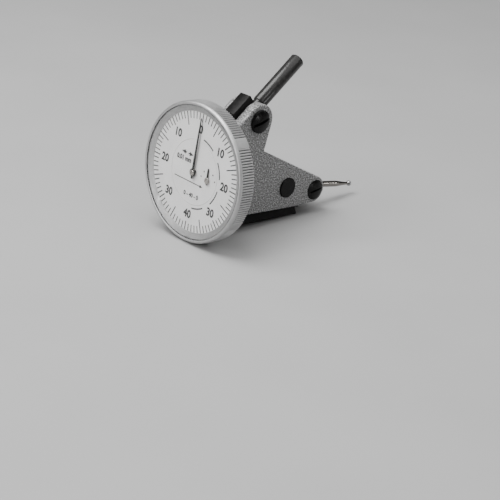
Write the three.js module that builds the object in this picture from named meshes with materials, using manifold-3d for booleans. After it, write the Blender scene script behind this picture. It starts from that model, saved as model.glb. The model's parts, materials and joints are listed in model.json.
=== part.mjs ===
// Lever-type dial indicator, in millimetres, +Z up.
//
// The dial axis is X and the dial faces -X. The stylus points to +X, the mounting stem
// rises at a slope, and the dovetail rail is underneath. Every piece is first placed in
// the dial's own frame, whose origin is the centre of the dial's front face. The whole
// tool is then shifted so that its origin is the centre of the dovetail's bottom face.
import * as THREE from 'three';
import { mergeVertices } from 'three/addons/utils/BufferGeometryUtils.js';
import Module from 'manifold-3d';

const wasm = await Module();
wasm.setup();

// ---------------------------------------------------------------- driving dimensions
const CLEARANCE = 0.05;                 // between pieces that are seated on each other
const SEATING = 0.03;                   // between a screw head and the face it bears on
const SEGMENTS = { large: 48, medium: 20, small: 12 };

// dial and bezel, radii about X
const BEZEL = { radius: 19, front: -1.2, back: 3.65, bore: 17.35, seat: 18.0, groove: 17.7 };
const CRYSTAL = { radius: 17.95, rimFront: -1.15, rimBack: -0.76, dome: 0.55 };
const FLANGE_INNER = 16.3;              // inner edge of the sloping ring around the scale
const DIAL = { split: 8.9, thickness: 0.36, ringRadius: 17.93 };
const SCALE_TURN = 2.8;                 // degrees that the zero is turned clockwise

// case
const BODY_HALF_WIDTH = 4.8;
const WALL = 1.4;
const CUP = { radius: 17.1, inner: 16.2, front: 0.7, floor: 3.3, back: 4.3, groove: 16.75 };
const UNDERSIDE = -12.85;
const EAR = { radius: 4.75, offset: [0.3, -0.15], slope: 42.5 };
const NOSE_RADIUS = 3.8;
const FORK_GAP = 3.9;
const FORK_SLOT_RADIUS = 7.9;
const NOSE_SLOT = 3.4;

// pivots that lie across the case, as [x, z]
const CLAMP = [17.0, 13.9];
const LEVER_PIVOT = [31.8, -6.5];
const STYLUS_PIVOT = [43.6, -8.6];
const CROWN_AXIS = [10.6, 0];

// screws and pivots across the case
const SHANK_RADIUS = 1.4;
const CLAMP_SHANK = 1.5;
const PIVOT_BORE = 0.5;                 // blind bore in a pivot screw, for the arbor's end
const PIVOT_DEPTH = 4.0;
const PIVOT_RADIUS = 0.44;
const PIVOT_END = 3.85;
const LEVER_BORE = 0.5;                 // bore in a lever that turns with a pivot shaft
const TRAIN_PIVOT = 0.24;               // pivots of the counter's wheels
const TRAIN_HOLE = 0.3;

// gearing
const STYLUS_TRAVEL_PER_TURN = 0.8;
const HAND_TURNS_PER_STYLUS_TURN = 160;
const SECTOR_RATIO = 19.2;              // sector radius over its pinion's
const CENTRE_LEAVES = 8;
const CROWN_TEETH = 56;
const CENTRE_PINION_RADIUS = 0.8;
const CROWN_PINION_LEAVES = 10;
const COUNTER = { pinion: 12, wheel: 36, module: 0.14, y: -5.47, z: -0.67 };

// hands, as lengths from the axis and depths along X
const HAND = { tail: -1.8, tip: 15.1, hub: 1.1, front: -0.66, back: -0.54 };
const COUNTER_HAND = { tail: -1.1, tip: 3.4, hub: 0.9, boss: -0.46, front: -0.3, back: -0.18 };

// stem and stylus
const STEM_THREAD = 1.0;
const STEM = { slope: 42.1, radius: 2.0, neck: 1.75, offset: 0.05, start: 5.0, end: 22.3 };
const KNUCKLE = { back: -4.8, end: 3.0, rear: -2.4, front: 6.1, width: 3.76 };
const STYLUS = { droop: 5.67, shaft: 0.9, neck: 0.42, ball: 0.8, taperStart: 14.2 };

// dovetail rail
const RAIL = { start: 4.6, end: 39.3, bottom: -15.9, halfBottom: 3.1, flare: 1.73, plate: 0.7 };
const RAIL_SCREWS = [7.6, 34.6];
const RAIL_OPENING = [13, 29];

// screw heads outside the case; slots are turned up from the X axis, in degrees
const CLAMP_HEAD = { radius: 3.2, height: 1.2, wall: 0.6, slot: 0.8, turn: 20 };
const CLAMP_NUT = { bore: 1.6, height: 0.8, turn: 52 };
const LEVER_HEAD = { radius: 2.9, height: 0.45 };
const STYLUS_HEAD = { radius: 2.95, height: 0.5, slot: 0.6, turn: 12 };

// ------------------------------------------------------------------- derived values
const radians = THREE.MathUtils.degToRad;
const pivotGap = Math.hypot(STYLUS_PIVOT[0] - LEVER_PIVOT[0], STYLUS_PIVOT[1] - LEVER_PIVOT[1]);
const crownRatio = CROWN_TEETH / CENTRE_LEAVES;
const leverRatio = HAND_TURNS_PER_STYLUS_TURN / (SECTOR_RATIO * crownRatio);
const leverArm = pivotGap / (1 + leverRatio);
const carrierArm = pivotGap - leverArm;
const crownRadius = CENTRE_PINION_RADIUS * crownRatio;
const sectorGap = Math.hypot(CROWN_AXIS[0] - LEVER_PIVOT[0], CROWN_AXIS[1] - LEVER_PIVOT[1]);
const crownPinionRadius = sectorGap / (1 + SECTOR_RATIO);
const sectorRadius = sectorGap - crownPinionRadius;
const stylusLength = STYLUS_TRAVEL_PER_TURN * HAND_TURNS_PER_STYLUS_TURN / (2 * Math.PI);
const toLever = Math.atan2(LEVER_PIVOT[1] - STYLUS_PIVOT[1], LEVER_PIVOT[0] - STYLUS_PIVOT[0]);
const toCrown = Math.atan2(CROWN_AXIS[1] - LEVER_PIVOT[1], CROWN_AXIS[0] - LEVER_PIVOT[0]);
const scaleTurn = radians(SCALE_TURN);

// layers across the case, as [low y, high y]
const LAYER = {
  carrier: [1.0, 1.5],
  sector: [-0.9, -0.4],
  crownPinion: [-1.15, -0.2],
  crownDisc: [0.98, 1.38],
  crownTips: 0.67,
};
const cavityHalf = BODY_HALF_WIDTH - WALL;

// ------------------------------------------------------------------------ materials
const material = (color, roughness, metalness) =>
  new THREE.MeshStandardMaterial({ color, roughness, metalness });
const finish = {
  paint: () => material(0x7d7d80, 0.55, 0.4),
  satin: () => material(0xb9b9ba, 0.35, 0.9),
  blackOxide: () => material(0x1b1a1b, 0.3, 0.8),
  steel: () => material(0xa9a7a2, 0.25, 1),
  brass: () => material(0xb8964f, 0.3, 1),
  dial: () => material(0xe4e2de, 0.7, 0),
  black: () => material(0x111111, 0.5, 0),
  crystal: () => Object.assign(material(0xf4f7f8, 0.05, 0), { transparent: true, opacity: 0.2 }),
};

// ------------------------------------------------------------------ geometry helpers
function closed(geometry) {
  const bare = geometry.clone();
  bare.deleteAttribute('normal');
  bare.deleteAttribute('uv');
  return mergeVertices(bare, 1e-4);
}

function solid(geometry) {
  const bare = closed(geometry);
  const make = (triangles) => new wasm.Manifold(new wasm.Mesh({
    numProp: 3,
    vertProperties: new Float32Array(bare.attributes.position.array),
    triVerts: new Uint32Array(triangles),
  }));
  const body = make(bare.index.array);
  if (body.volume() > 0) return body;
  return make(Array.from(bare.index.array).reverse());
}

function surface(body) {
  const mesh = body.getMesh();
  const geometry = new THREE.BufferGeometry();
  const positions = new THREE.BufferAttribute(new Float32Array(mesh.vertProperties), 3);
  geometry.setAttribute('position', positions);
  geometry.setIndex(Array.from(mesh.triVerts));
  geometry.computeVertexNormals();
  return geometry;
}

function join(...geometries) {
  return surface(geometries.map(solid).reduce((sum, next) => sum.add(next)));
}

function cut(geometry, ...tools) {
  return surface(tools.map(solid).reduce((rest, tool) => rest.subtract(tool), solid(geometry)));
}

function meet(geometry, tool) {
  return surface(solid(geometry).intersect(solid(tool)));
}

function shapeOf(points) {
  return new THREE.Shape(points.map(([a, b]) => new THREE.Vector2(a, b)));
}

// A plate drawn in (x, z), between two values of y.
function sidePlate(shape, [low, high], options = {}) {
  const settings = { depth: high - low, bevelEnabled: false, curveSegments: 10, ...options };
  const geometry = new THREE.ExtrudeGeometry(shape, settings);
  geometry.rotateX(Math.PI / 2);
  return geometry.translate(0, high, 0);
}

// A plate drawn as the dial's reader sees it, (right, up), between two values of x.
function dialPlate(shape, front, back) {
  const geometry = new THREE.ExtrudeGeometry(shape, {
    depth: back - front, bevelEnabled: false, curveSegments: 10,
  });
  const facing = new THREE.Matrix4().makeBasis(
    new THREE.Vector3(0, -1, 0), new THREE.Vector3(0, 0, 1), new THREE.Vector3(-1, 0, 0));
  return geometry.applyMatrix4(facing).translate(back, 0, 0);
}

// A turned piece from (radius, position) points; axis is 'x', 'y' or 'z'.
function turned(profile, axis, segments, at = [0, 0, 0]) {
  const points = profile.map(([radius, place]) => new THREE.Vector2(radius, place));
  if (THREE.ShapeUtils.area(points) < 0) points.reverse();
  const geometry = new THREE.LatheGeometry(points, segments);
  if (axis === 'x') geometry.rotateZ(-Math.PI / 2);
  if (axis === 'z') geometry.rotateX(Math.PI / 2);
  return geometry.translate(...at);
}

function rod(radius, [low, high], axis, at, segments = SEGMENTS.small) {
  return turned([[0, low], [radius, low], [radius, high], [0, high]], axis, segments, at);
}

function ring(inner, outer, [low, high], axis, at, segments = SEGMENTS.medium) {
  const profile = [[inner, low], [outer, low], [outer, high], [inner, high], [inner, low]];
  return turned(profile, axis, segments, at);
}

function box([x0, x1], [y0, y1], [z0, z1]) {
  return new THREE.BoxGeometry(Math.abs(x1 - x0), Math.abs(y1 - y0), Math.abs(z1 - z0))
    .translate((x0 + x1) / 2, (y0 + y1) / 2, (z0 + z1) / 2);
}

const across = ([x, z]) => [x, 0, z];
const polar = (centre, radius, angle) =>
  [centre[0] + radius * Math.cos(angle), centre[1] + radius * Math.sin(angle)];

// A toothed outline with straight-sided teeth; one tooth is centred on the phase angle.
function toothAngles(pitch, phase, index) {
  const centre = phase + index * pitch;
  return [centre - 0.27 * pitch, centre - 0.13 * pitch, centre + 0.13 * pitch, centre + 0.27 * pitch];
}

function gearShape(centre, teeth, radius, phase, addendum, dedendum) {
  const pitch = 2 * Math.PI / teeth;
  const points = [];
  for (let index = 0; index < teeth; index += 1) {
    const [rootIn, tipIn, tipOut, rootOut] = toothAngles(pitch, phase, index);
    points.push(polar(centre, radius - dedendum, rootIn));
    points.push(polar(centre, radius + addendum, tipIn));
    points.push(polar(centre, radius + addendum, tipOut));
    points.push(polar(centre, radius - dedendum, rootOut));
  }
  return shapeOf(points);
}

// --------------------------------------------------------------- scene-graph helpers
const tool = new THREE.Group();

function add(parent, name, geometry, look) {
  const mesh = new THREE.Mesh(geometry, look());
  mesh.name = name;
  parent.add(mesh);
  return mesh;
}

// ------------------------------------------------------------------------- the case
function caseOutline() {
  const ear = [CLAMP[0] + EAR.offset[0], CLAMP[1] + EAR.offset[1]];
  const slope = radians(EAR.slope);
  const outline = new THREE.Shape();
  outline.moveTo(CUP.back - 0.5, UNDERSIDE);
  outline.lineTo(37, UNDERSIDE);
  outline.absarc(...STYLUS_PIVOT, NOSE_RADIUS, radians(-98), radians(67), false);
  outline.lineTo(20.5, 5.3);
  outline.absarc(...ear, EAR.radius, radians(-8), slope + Math.PI / 2, false);
  const front = polar(ear, EAR.radius, slope + Math.PI / 2);
  outline.lineTo(CUP.back - 0.5, front[1] - (front[0] - CUP.back + 0.5) * Math.tan(slope));
  return outline;
}

function cavityShape() {
  return shapeOf([
    [CUP.back - 0.5, -11.5], [37.6, -11.5], [37.6, -3.4], [20.5, 3.9], [17, 4.6], [12.3, 6.3],
    [CUP.back - 0.5, 6.3],
  ]);
}

function forkSlot() {
  const slot = new THREE.Shape().absarc(...CLAMP, FORK_SLOT_RADIUS, 0, 2 * Math.PI, false);
  return sidePlate(slot, [-FORK_GAP / 2, FORK_GAP / 2]);
}

function housingCuts() {
  const noseHalf = NOSE_SLOT / 2;
  const whole = [-BODY_HALF_WIDTH - 1, BODY_HALF_WIDTH + 1];
  const pivotBore = SHANK_RADIUS + CLEARANCE;
  return [
    sidePlate(cavityShape(), [-cavityHalf, cavityHalf]),
    forkSlot(),
    box([37, 50], [-noseHalf, noseHalf], [-11, -4.8]),
    box([41, 50], [-noseHalf, noseHalf], [-14, 0]),
    box(RAIL_OPENING, [-2.6, 2.6], [UNDERSIDE - 1, -11]),
    rod(pivotBore, whole, 'y', across(LEVER_PIVOT)),
    rod(pivotBore, whole, 'y', across(STYLUS_PIVOT)),
    rod(CLAMP_NUT.bore, whole, 'y', across(CLAMP)),
  ];
}

function cup() {
  const shell = [
    [0, CUP.floor], [CUP.inner, CUP.floor], [CUP.inner, CUP.front], [CUP.radius, CUP.front],
    [CUP.radius, 2.3], [CUP.groove, 2.3], [CUP.groove, 2.9], [CUP.radius, 2.9],
    [CUP.radius, CUP.back - 0.2], [CUP.radius - 0.2, CUP.back], [0, CUP.back],
  ];
  return turned(shell, 'x', SEGMENTS.large);
}

function buildCase() {
  const round = 0.5;
  const bevel = { bevelEnabled: true, bevelThickness: round, bevelSize: round, bevelOffset: -round,
    bevelSegments: 1, curveSegments: 9 };
  const body = sidePlate(caseOutline(), [-BODY_HALF_WIDTH + round, BODY_HALF_WIDTH - round], bevel);
  const bosses = RAIL_SCREWS.map((x) => rod(1.5, [-11.6, -9.6], 'z', [x, 0, 0]));
  const passages = [
    rod(0.5, [CUP.floor - 1, CUP.back + 1], 'x', [0, 0, 0]),
    rod(TRAIN_HOLE, [CUP.floor - 1, CUP.floor + 0.6], 'x', [0, COUNTER.y, COUNTER.z]),
    rod(TRAIN_HOLE, [CUP.floor - 1, CUP.floor + 0.6], 'x', [0, ...idlerPlace]),
    ...pillarPlaces.map((place) => rod(0.5, [CUP.floor - 1, CUP.floor + 0.6], 'x', [0, ...place])),
  ];
  const shell = join(cut(join(body, cup()), ...housingCuts()), ...bosses);
  const screwHoles = RAIL_SCREWS.map((x) => rod(0.65, [UNDERSIDE - 1, -10], 'z', [x, 0, 0]));
  const front = box([-5, CUP.floor], [-CUP.inner, CUP.inner], [-CUP.inner, CUP.inner]);
  const inCup = meet(front, rod(CUP.inner, [-5, CUP.floor], 'x', [0, 0, 0], SEGMENTS.large));
  add(tool, 'housing', cut(shell, inCup, ...passages, ...screwHoles), finish.paint);
}

// ----------------------------------------------------------------------- dovetail rail
function railSection() {
  const plateBottom = UNDERSIDE - CLEARANCE - RAIL.plate;
  const neck = RAIL.halfBottom - RAIL.flare / Math.tan(radians(60));
  const right = [
    [RAIL.halfBottom, RAIL.bottom], [neck, RAIL.bottom + RAIL.flare], [neck, plateBottom],
    [3.4, plateBottom], [3.4, UNDERSIDE - CLEARANCE],
  ];
  return shapeOf([...right, ...right.map(([a, b]) => [-a, b]).reverse()]);
}

function buildRail() {
  const heads = RAIL_SCREWS.map((x) => turned(
    [[0, -16.4], [1.35, -16.4], [1.35, -15.6], [0.75, -15], [0.75, -12], [0, -12]],
    'z', SEGMENTS.small, [x, 0, 0]));
  add(tool, 'dovetail_rail', cut(dialPlate(railSection(), RAIL.start, RAIL.end), ...heads),
    finish.blackOxide);
  RAIL_SCREWS.forEach((x, index) => {
    const screw = turned(
      [[0, -15.82], [1.25, -15.82], [1.25, -15.6], [0.6, -14.95], [0.6, -10.3], [0, -10.3]],
      'z', SEGMENTS.small, [x, 0, 0]);
    const slot = box([x - 2, x + 2], [-0.15, 0.15], [-16.4, -15.5]);
    add(tool, `rail_screw_${index + 1}`, cut(screw, slot), finish.blackOxide);
  });
}

// ---------------------------------------------------------------- bezel and its glass
const bezelGroup = new THREE.Group();
tool.add(bezelGroup);

function buildBezel() {
  const { radius, front, back, bore, seat, groove } = BEZEL;
  const section = [
    [radius, -0.35], [radius, back - 0.1], [radius - 0.15, back], [bore, back], [bore, 2.95],
    [groove, 2.95], [groove, 2.25], [bore, 2.25], [bore, 0.42], [seat, 0.42], [seat, front + 0.12],
    [seat + 0.3, front], [seat + 0.6, front + 0.06], [seat + 0.86, front + 0.38], [radius, -0.35],
  ];
  add(bezelGroup, 'bezel', turned(section, 'x', SEGMENTS.large), finish.satin);
  const snap = ring(16.85, 17.62, [2.36, 2.84], 'x', [0, 0, 0], SEGMENTS.large);
  const gap = box([2, 3.2], [-0.8, 0.8], [-18, -15]);
  add(tool, 'bezel_snap_ring', cut(snap, gap), finish.steel);
}

function buildCrystal() {
  const { radius, rimFront, rimBack, dome } = CRYSTAL;
  const curve = (edge, steps) => Array.from({ length: steps + 1 }, (_, index) => {
    const at = index / steps;
    return [radius * 0.96 * at, edge - dome * (1 - at * at)];
  });
  const outside = curve(rimFront, 3);
  const inside = curve(rimBack, 3).reverse();
  const profile = [...outside, [radius, rimFront], [radius, rimBack], ...inside];
  add(bezelGroup, 'crystal', turned(profile, 'x', SEGMENTS.large), finish.crystal);
}

function buildDial() {
  const flange = [[FLANGE_INNER, -0.04], [DIAL.ringRadius, -0.04], [DIAL.ringRadius, -0.7],
    [DIAL.ringRadius - 0.15, -0.7], [FLANGE_INNER, -0.12], [FLANGE_INNER, -0.04]];
  add(bezelGroup, 'flange_ring', turned(flange, 'x', SEGMENTS.large), finish.satin);
  const scale = ring(DIAL.split, DIAL.ringRadius, [0, DIAL.thickness], 'x', [0, 0, 0], SEGMENTS.large);
  add(bezelGroup, 'scale_ring', scale, finish.dial);
  const disc = rod(DIAL.split - 0.1, [0, DIAL.thickness], 'x', [0, 0, 0], SEGMENTS.large);
  const feet = [-7.6, 7.6].map((z) => rod(0.4, [0.2, 0.88], 'x', [0, 0, z]));
  const holes = [
    rod(0.9, [-1, 1], 'x', [0, 0, 0]),
    rod(0.4, [-1, 1], 'x', [0, COUNTER.y, COUNTER.z]),
  ];
  add(tool, 'centre_disc', cut(join(disc, ...feet), ...holes), finish.dial);
}

// ------------------------------------------------------------------- dial-side movement
const idlerPlace = (() => {
  const reach = COUNTER.module * (COUNTER.pinion + COUNTER.wheel) / 2;
  const gap = Math.hypot(COUNTER.y, COUNTER.z);
  const drop = Math.sqrt(reach * reach - gap * gap / 4);
  return [COUNTER.y / 2 - drop * COUNTER.z / gap, COUNTER.z / 2 + drop * COUNTER.y / gap];
})();
const pillarPlaces = [90, 210, 330].map((angle) => polar([0, 0], 13.4, radians(angle)));
const PLATE = { radius: 15.8, front: 0.9, back: 1.5 };

function buildPlate() {
  const holes = [
    rod(0.4, [0, 2], 'x', [0, 0, 0]),
    rod(TRAIN_HOLE, [0, 2], 'x', [0, COUNTER.y, COUNTER.z]),
    rod(TRAIN_HOLE, [0, 2], 'x', [0, ...idlerPlace]),
    ...pillarPlaces.map((place) => rod(0.5, [0, 2], 'x', [0, ...place])),
  ];
  const plate = rod(PLATE.radius, [PLATE.front, PLATE.back], 'x', [0, 0, 0], SEGMENTS.large);
  add(tool, 'front_plate', cut(plate, ...holes), finish.brass);
  pillarPlaces.forEach((place, index) => {
    const pillar = ring(0.5, 1.1, [PLATE.back + 0.03, CUP.floor - 0.03], 'x', [0, ...place]);
    add(tool, `plate_pillar_${index + 1}`, pillar, finish.brass);
    const screw = turned([[0, 0.48], [0.9, 0.48], [0.9, 0.87], [0.44, 0.87], [0.44, 3.7], [0, 3.7]],
      'x', SEGMENTS.small, [0, ...place]);
    const slot = box([0, 0.66], [place[0] - 1, place[0] + 1], [place[1] - 0.12, place[1] + 0.12]);
    add(tool, `plate_screw_${index + 1}`, cut(screw, slot), finish.steel);
  });
}

const dialAngle = ([y, z]) => Math.atan2(z, -y);

// A gear on an arbor that is parallel to X, drawn as (right, up) from the dial's side.
function dialGear([y, z], teeth, phase, [front, back]) {
  const shape = gearShape([-y, z], teeth, COUNTER.module * teeth / 2, phase, 0.11, 0.16);
  return dialPlate(shape, front, back);
}

function buildCentre() {
  const group = new THREE.Group();
  const toIdler = dialAngle(idlerPlace);
  const shaft = turned([
    [0, -0.7], [0.3, -0.7], [0.3, 0.42], [0.75, 0.42], [0.75, 0.84], [0.34, 0.84], [0.34, 7],
    [0, 7],
  ], 'x', SEGMENTS.small);
  const counterPinion = dialGear([0, 0], COUNTER.pinion, toIdler, [1.75, 2.3]);
  const leaves = gearShape([0, 0], CENTRE_LEAVES, CENTRE_PINION_RADIUS, Math.PI, 0.13, 0.2);
  const crownPinion = dialPlate(leaves, CROWN_AXIS[0] - crownRadius - 0.45,
    CROWN_AXIS[0] - crownRadius + 0.45);
  add(group, 'centre_arbor', join(shaft, counterPinion, crownPinion), finish.steel);

  const { tail, tip, hub, front, back } = HAND;
  const hand = shapeOf([[-0.45, tail], [0.45, tail], [0.34, 0], [0.25, 8], [0.1, tip],
    [-0.1, tip], [-0.25, 8], [-0.34, 0]]);
  const disc = new THREE.Shape().absarc(0, 0, hub, 0, 2 * Math.PI, false);
  const blade = join(dialPlate(hand, front, back), dialPlate(disc, front, back));
  const bore = rod(0.34, [-1, 0], 'x', [0, 0, 0]);
  const pointer = add(group, 'main_hand', cut(blade, bore), finish.black);
  pointer.rotation.x = scaleTurn;
  const cap = turned([[0, -1.05], [0.5, -1.05], [0.75, -0.9], [0.75, -0.73], [0, -0.73]], 'x',
    SEGMENTS.small);
  add(group, 'hand_cap', cap, finish.steel);
  tool.add(group);
}

function buildHairspring() {
  const turns = 5;
  const steps = turns * 14;
  const inner = 0.85;
  const pitch = 0.74;
  const half = 0.05;
  const side = (offset) => Array.from({ length: steps + 1 }, (_, index) => {
    const angle = 2 * Math.PI * turns * index / steps;
    return polar([0, 0], inner + offset + pitch * angle / (2 * Math.PI), angle);
  });
  const ribbon = shapeOf([...side(-half), ...side(half).reverse()]);
  add(tool, 'hairspring', dialPlate(ribbon, 0.5, 0.78), finish.steel);
  const end = inner + pitch * turns;
  add(tool, 'hairspring_stud', box([0.44, 0.87], [-end - 0.65, -end - 0.1], [-0.4, 0.4]), finish.brass);
}

function buildCounter() {
  const centreToIdler = dialAngle(idlerPlace);
  const idlerToCounter = dialAngle([COUNTER.y - idlerPlace[0], COUNTER.z - idlerPlace[1]]);
  const halfTooth = Math.PI / COUNTER.wheel;
  const idlerShaft = rod(TRAIN_PIVOT, [1, 3.7], 'x', [0, ...idlerPlace], SEGMENTS.small);
  const idlerWheel = dialGear(idlerPlace, COUNTER.wheel, centreToIdler + Math.PI + halfTooth, [1.8, 2.2]);
  const idlerPinion = dialGear(idlerPlace, COUNTER.pinion, idlerToCounter, [2.1, 3.05]);
  add(tool, 'counter_idler', join(idlerShaft, idlerWheel, idlerPinion), finish.brass);

  const place = [COUNTER.y, COUNTER.z];
  const shaft = rod(TRAIN_PIVOT, [-0.42, 3.7], 'x', [0, ...place], SEGMENTS.small);
  const wheel = dialGear(place, COUNTER.wheel, idlerToCounter + Math.PI + halfTooth, [2.55, 2.95]);
  add(tool, 'counter_wheel', join(shaft, wheel), finish.brass);
  const { tail, tip, hub, boss, front, back } = COUNTER_HAND;
  const blade = shapeOf([[-0.36, tail], [0.36, tail], [0.2, tip], [-0.2, tip]]);
  const disc = new THREE.Shape().absarc(0, 0, hub, 0, 2 * Math.PI, false);
  const hand = join(dialPlate(blade, front, back), dialPlate(disc, boss, back));
  const bored = cut(hand, rod(TRAIN_PIVOT + 0.03, [-1, 0], 'x', [0, 0, 0]));
  add(tool, 'counter_hand', bored.translate(0, ...place), finish.black);
}

function buildBridge() {
  const plate = box([6.1, 6.7], [-2.6, 0.6], [-2.4, 2.4]);
  const posts = [-1.8, 1.8].map((z) => rod(0.55, [CUP.back + 0.03, 6.3], 'x', [0, -1.9, z]));
  const hole = rod(0.38, [5, 8], 'x', [0, 0, 0]);
  add(tool, 'rear_bridge', cut(join(plate, ...posts), hole), finish.brass);
}

// -------------------------------------------------------------- movement in the case
// A face-toothed ring: its teeth point to -Y and one gap faces -X.
function crownTeeth(inner, outer, tips, roots, back) {
  const pitch = 2 * Math.PI / CROWN_TEETH;
  const positions = [];
  const indices = [];
  for (let index = 0; index < CROWN_TEETH; index += 1) {
    const angles = toothAngles(pitch, Math.PI + pitch / 2, index);
    [roots, tips, tips, roots].forEach((level, step) => {
      for (const [radius, y] of [[inner, level], [outer, level], [outer, back], [inner, back]]) {
        const [x, z] = polar(CROWN_AXIS, radius, angles[step]);
        positions.push(x, y, z);
      }
    });
  }
  const count = CROWN_TEETH * 4;
  for (let index = 0; index < count; index += 1) {
    const here = index * 4;
    const next = ((index + 1) % count) * 4;
    for (let corner = 0; corner < 4; corner += 1) {
      const after = (corner + 1) % 4;
      indices.push(here + corner, here + after, next + after);
      indices.push(here + corner, next + after, next + corner);
    }
  }
  const geometry = new THREE.BufferGeometry();
  geometry.setAttribute('position', new THREE.Float32BufferAttribute(positions, 3));
  geometry.setIndex(indices);
  return geometry;
}

function buildCrown() {
  const [discLow, discHigh] = LAYER.crownDisc;
  const teeth = crownTeeth(crownRadius - 0.3, crownRadius + 0.3, LAYER.crownTips, discLow, discHigh);
  const disc = ring(0.45, crownRadius - 0.1, LAYER.crownDisc, 'y', across(CROWN_AXIS));
  const lightening = [0, 1, 2, 3, 4].map((index) => rod(0.95, [0, 2], 'y',
    across(polar(CROWN_AXIS, 2.9, 2 * Math.PI * index / 5))));
  add(tool, 'crown_wheel', join(cut(disc, ...lightening), teeth), finish.brass);

  const leaves = gearShape(CROWN_AXIS, CROWN_PINION_LEAVES, crownPinionRadius,
    toCrown + Math.PI, 0.15, 0.22);
  const shaft = rod(0.4, [-3.15, 3.15], 'y', across(CROWN_AXIS));
  add(tool, 'crown_arbor', join(shaft, sidePlate(leaves, LAYER.crownPinion)), finish.steel);
  for (const [name, side] of [['near', -1], ['far', 1]]) {
    const bush = ring(0.45, 1.1, [2.55, cavityHalf - CLEARANCE].map((y) => side * y), 'y',
      across(CROWN_AXIS));
    add(tool, `arbor_bush_${name}`, bush, finish.brass);
  }
}

function sectorTeeth() {
  const teethPerTurn = Math.round(CROWN_PINION_LEAVES * SECTOR_RATIO);
  const pitch = 2 * Math.PI / teethPerTurn;
  const module = 2 * sectorRadius / teethPerTurn;
  const half = 5;
  const points = [];
  for (let index = -half; index < half; index += 1) {
    const [rootIn, tipIn, tipOut, rootOut] = toothAngles(pitch, toCrown + pitch / 2, index);
    const [low, high] = [sectorRadius - module, sectorRadius + 0.68 * module];
    points.push(polar(LEVER_PIVOT, low, rootIn), polar(LEVER_PIVOT, high, tipIn));
    points.push(polar(LEVER_PIVOT, high, tipOut), polar(LEVER_PIVOT, low, rootOut));
  }
  const edge = half * pitch;
  const back = sectorRadius - 1.9;
  points.push(polar(LEVER_PIVOT, back, toCrown + edge), polar(LEVER_PIVOT, back - 0.3, toCrown),
    polar(LEVER_PIVOT, back, toCrown - edge));
  return shapeOf(points);
}

// A shaft whose ends turn in the blind bores of two pivot screws.
const pivotShaft = (place) => rod(PIVOT_RADIUS, [-PIVOT_END, PIVOT_END], 'y', across(place));

function buildSectorLever() {
  const tip = polar(LEVER_PIVOT, sectorRadius - 1.5, toCrown);
  const fork = polar(LEVER_PIVOT, leverArm + 0.75, toLever + Math.PI);
  const arm = (end, wide, narrow) => {
    const angle = Math.atan2(end[1] - LEVER_PIVOT[1], end[0] - LEVER_PIVOT[0]) + Math.PI / 2;
    return shapeOf([polar(LEVER_PIVOT, wide, angle), polar(end, narrow, angle),
      polar(end, -narrow, angle), polar(LEVER_PIVOT, -wide, angle)]);
  };
  const hub = new THREE.Shape().absarc(...LEVER_PIVOT, 1.7, 0, 2 * Math.PI, false);
  const plates = [arm(tip, 1.25, 0.8), arm(fork, 1.3, 1.0), hub, sectorTeeth()]
    .map((shape) => sidePlate(shape, LAYER.sector));
  const slot = sidePlate(arm(polar(LEVER_PIVOT, leverArm + 2, toLever + Math.PI), 0.36, 0.36),
    [-2, 2]);
  const pinSlot = cut(slot, rod(leverArm - 1, [-3, 3], 'y', across(LEVER_PIVOT)));
  const bore = rod(LEVER_BORE, [-2, 2], 'y', across(LEVER_PIVOT));
  add(tool, 'sector_lever', cut(join(...plates), pinSlot, bore), finish.steel);
  add(tool, 'sector_arbor', pivotShaft(LEVER_PIVOT), finish.steel);
}

function buildCarrier() {
  const pin = polar(STYLUS_PIVOT, carrierArm, toLever);
  const along = toLever + Math.PI / 2;
  const plates = [
    new THREE.Shape().absarc(...STYLUS_PIVOT, 2.3, 0, 2 * Math.PI, false),
    new THREE.Shape().absarc(...pin, 0.8, 0, 2 * Math.PI, false),
    shapeOf([polar(STYLUS_PIVOT, 1.2, along), polar(pin, 0.8, along), polar(pin, -0.8, along),
      polar(STYLUS_PIVOT, -1.2, along)]),
  ].map((shape) => sidePlate(shape, LAYER.carrier));
  const plate = join(...plates, rod(0.3, [-1.1, 1.2], 'y', across(pin)));
  const bore = rod(LEVER_BORE, [-2, 2], 'y', across(STYLUS_PIVOT));
  add(tool, 'stylus_carrier', cut(plate, bore), finish.steel);
  add(tool, 'stylus_pivot_shaft', pivotShaft(STYLUS_PIVOT), finish.steel);
  add(tool, 'friction_washer', ring(0.52, 1.9, [-1.45, -1.0], 'y', across(STYLUS_PIVOT)), finish.brass);
}

// A slot across a head on the near (-1) or far (1) side, from a depth outwards.
function headSlot({ slot, turn }, depth, side) {
  const reach = 5;
  const cutter = box([-reach, reach], [side * depth, side * (depth + 4)], [-slot / 2, slot / 2]);
  return cutter.rotateY(-radians(turn));
}

// A cross-case pivot screw: head outside, shank through the wall, blind bore for a pivot.
function pivotScrew(place, side, head) {
  const face = BODY_HALF_WIDTH + SEATING;
  const top = face + head.height;
  const shankEnd = cavityHalf - 0.1;
  const profile = [
    [0, top], [head.radius - 0.25, top], [head.radius, top - 0.2], [head.radius, face],
    [SHANK_RADIUS, face], [SHANK_RADIUS, shankEnd], [PIVOT_BORE, shankEnd],
    [PIVOT_BORE, PIVOT_DEPTH], [0, PIVOT_DEPTH],
  ].map(([radius, y]) => [radius, side * y]);
  const screw = turned(profile, 'y', SEGMENTS.medium);
  const shaped = head.slot ? cut(screw, headSlot(head, top - 0.3, side)) : screw;
  return shaped.translate(...across(place));
}

function buildPivotScrews() {
  for (const [name, side] of [['near', -1], ['far', 1]]) {
    add(tool, `lever_pivot_screw_${name}`, pivotScrew(LEVER_PIVOT, side, LEVER_HEAD),
      finish.blackOxide);
    add(tool, `stylus_pivot_screw_${name}`, pivotScrew(STYLUS_PIVOT, side, STYLUS_HEAD),
      finish.blackOxide);
  }
}

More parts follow.
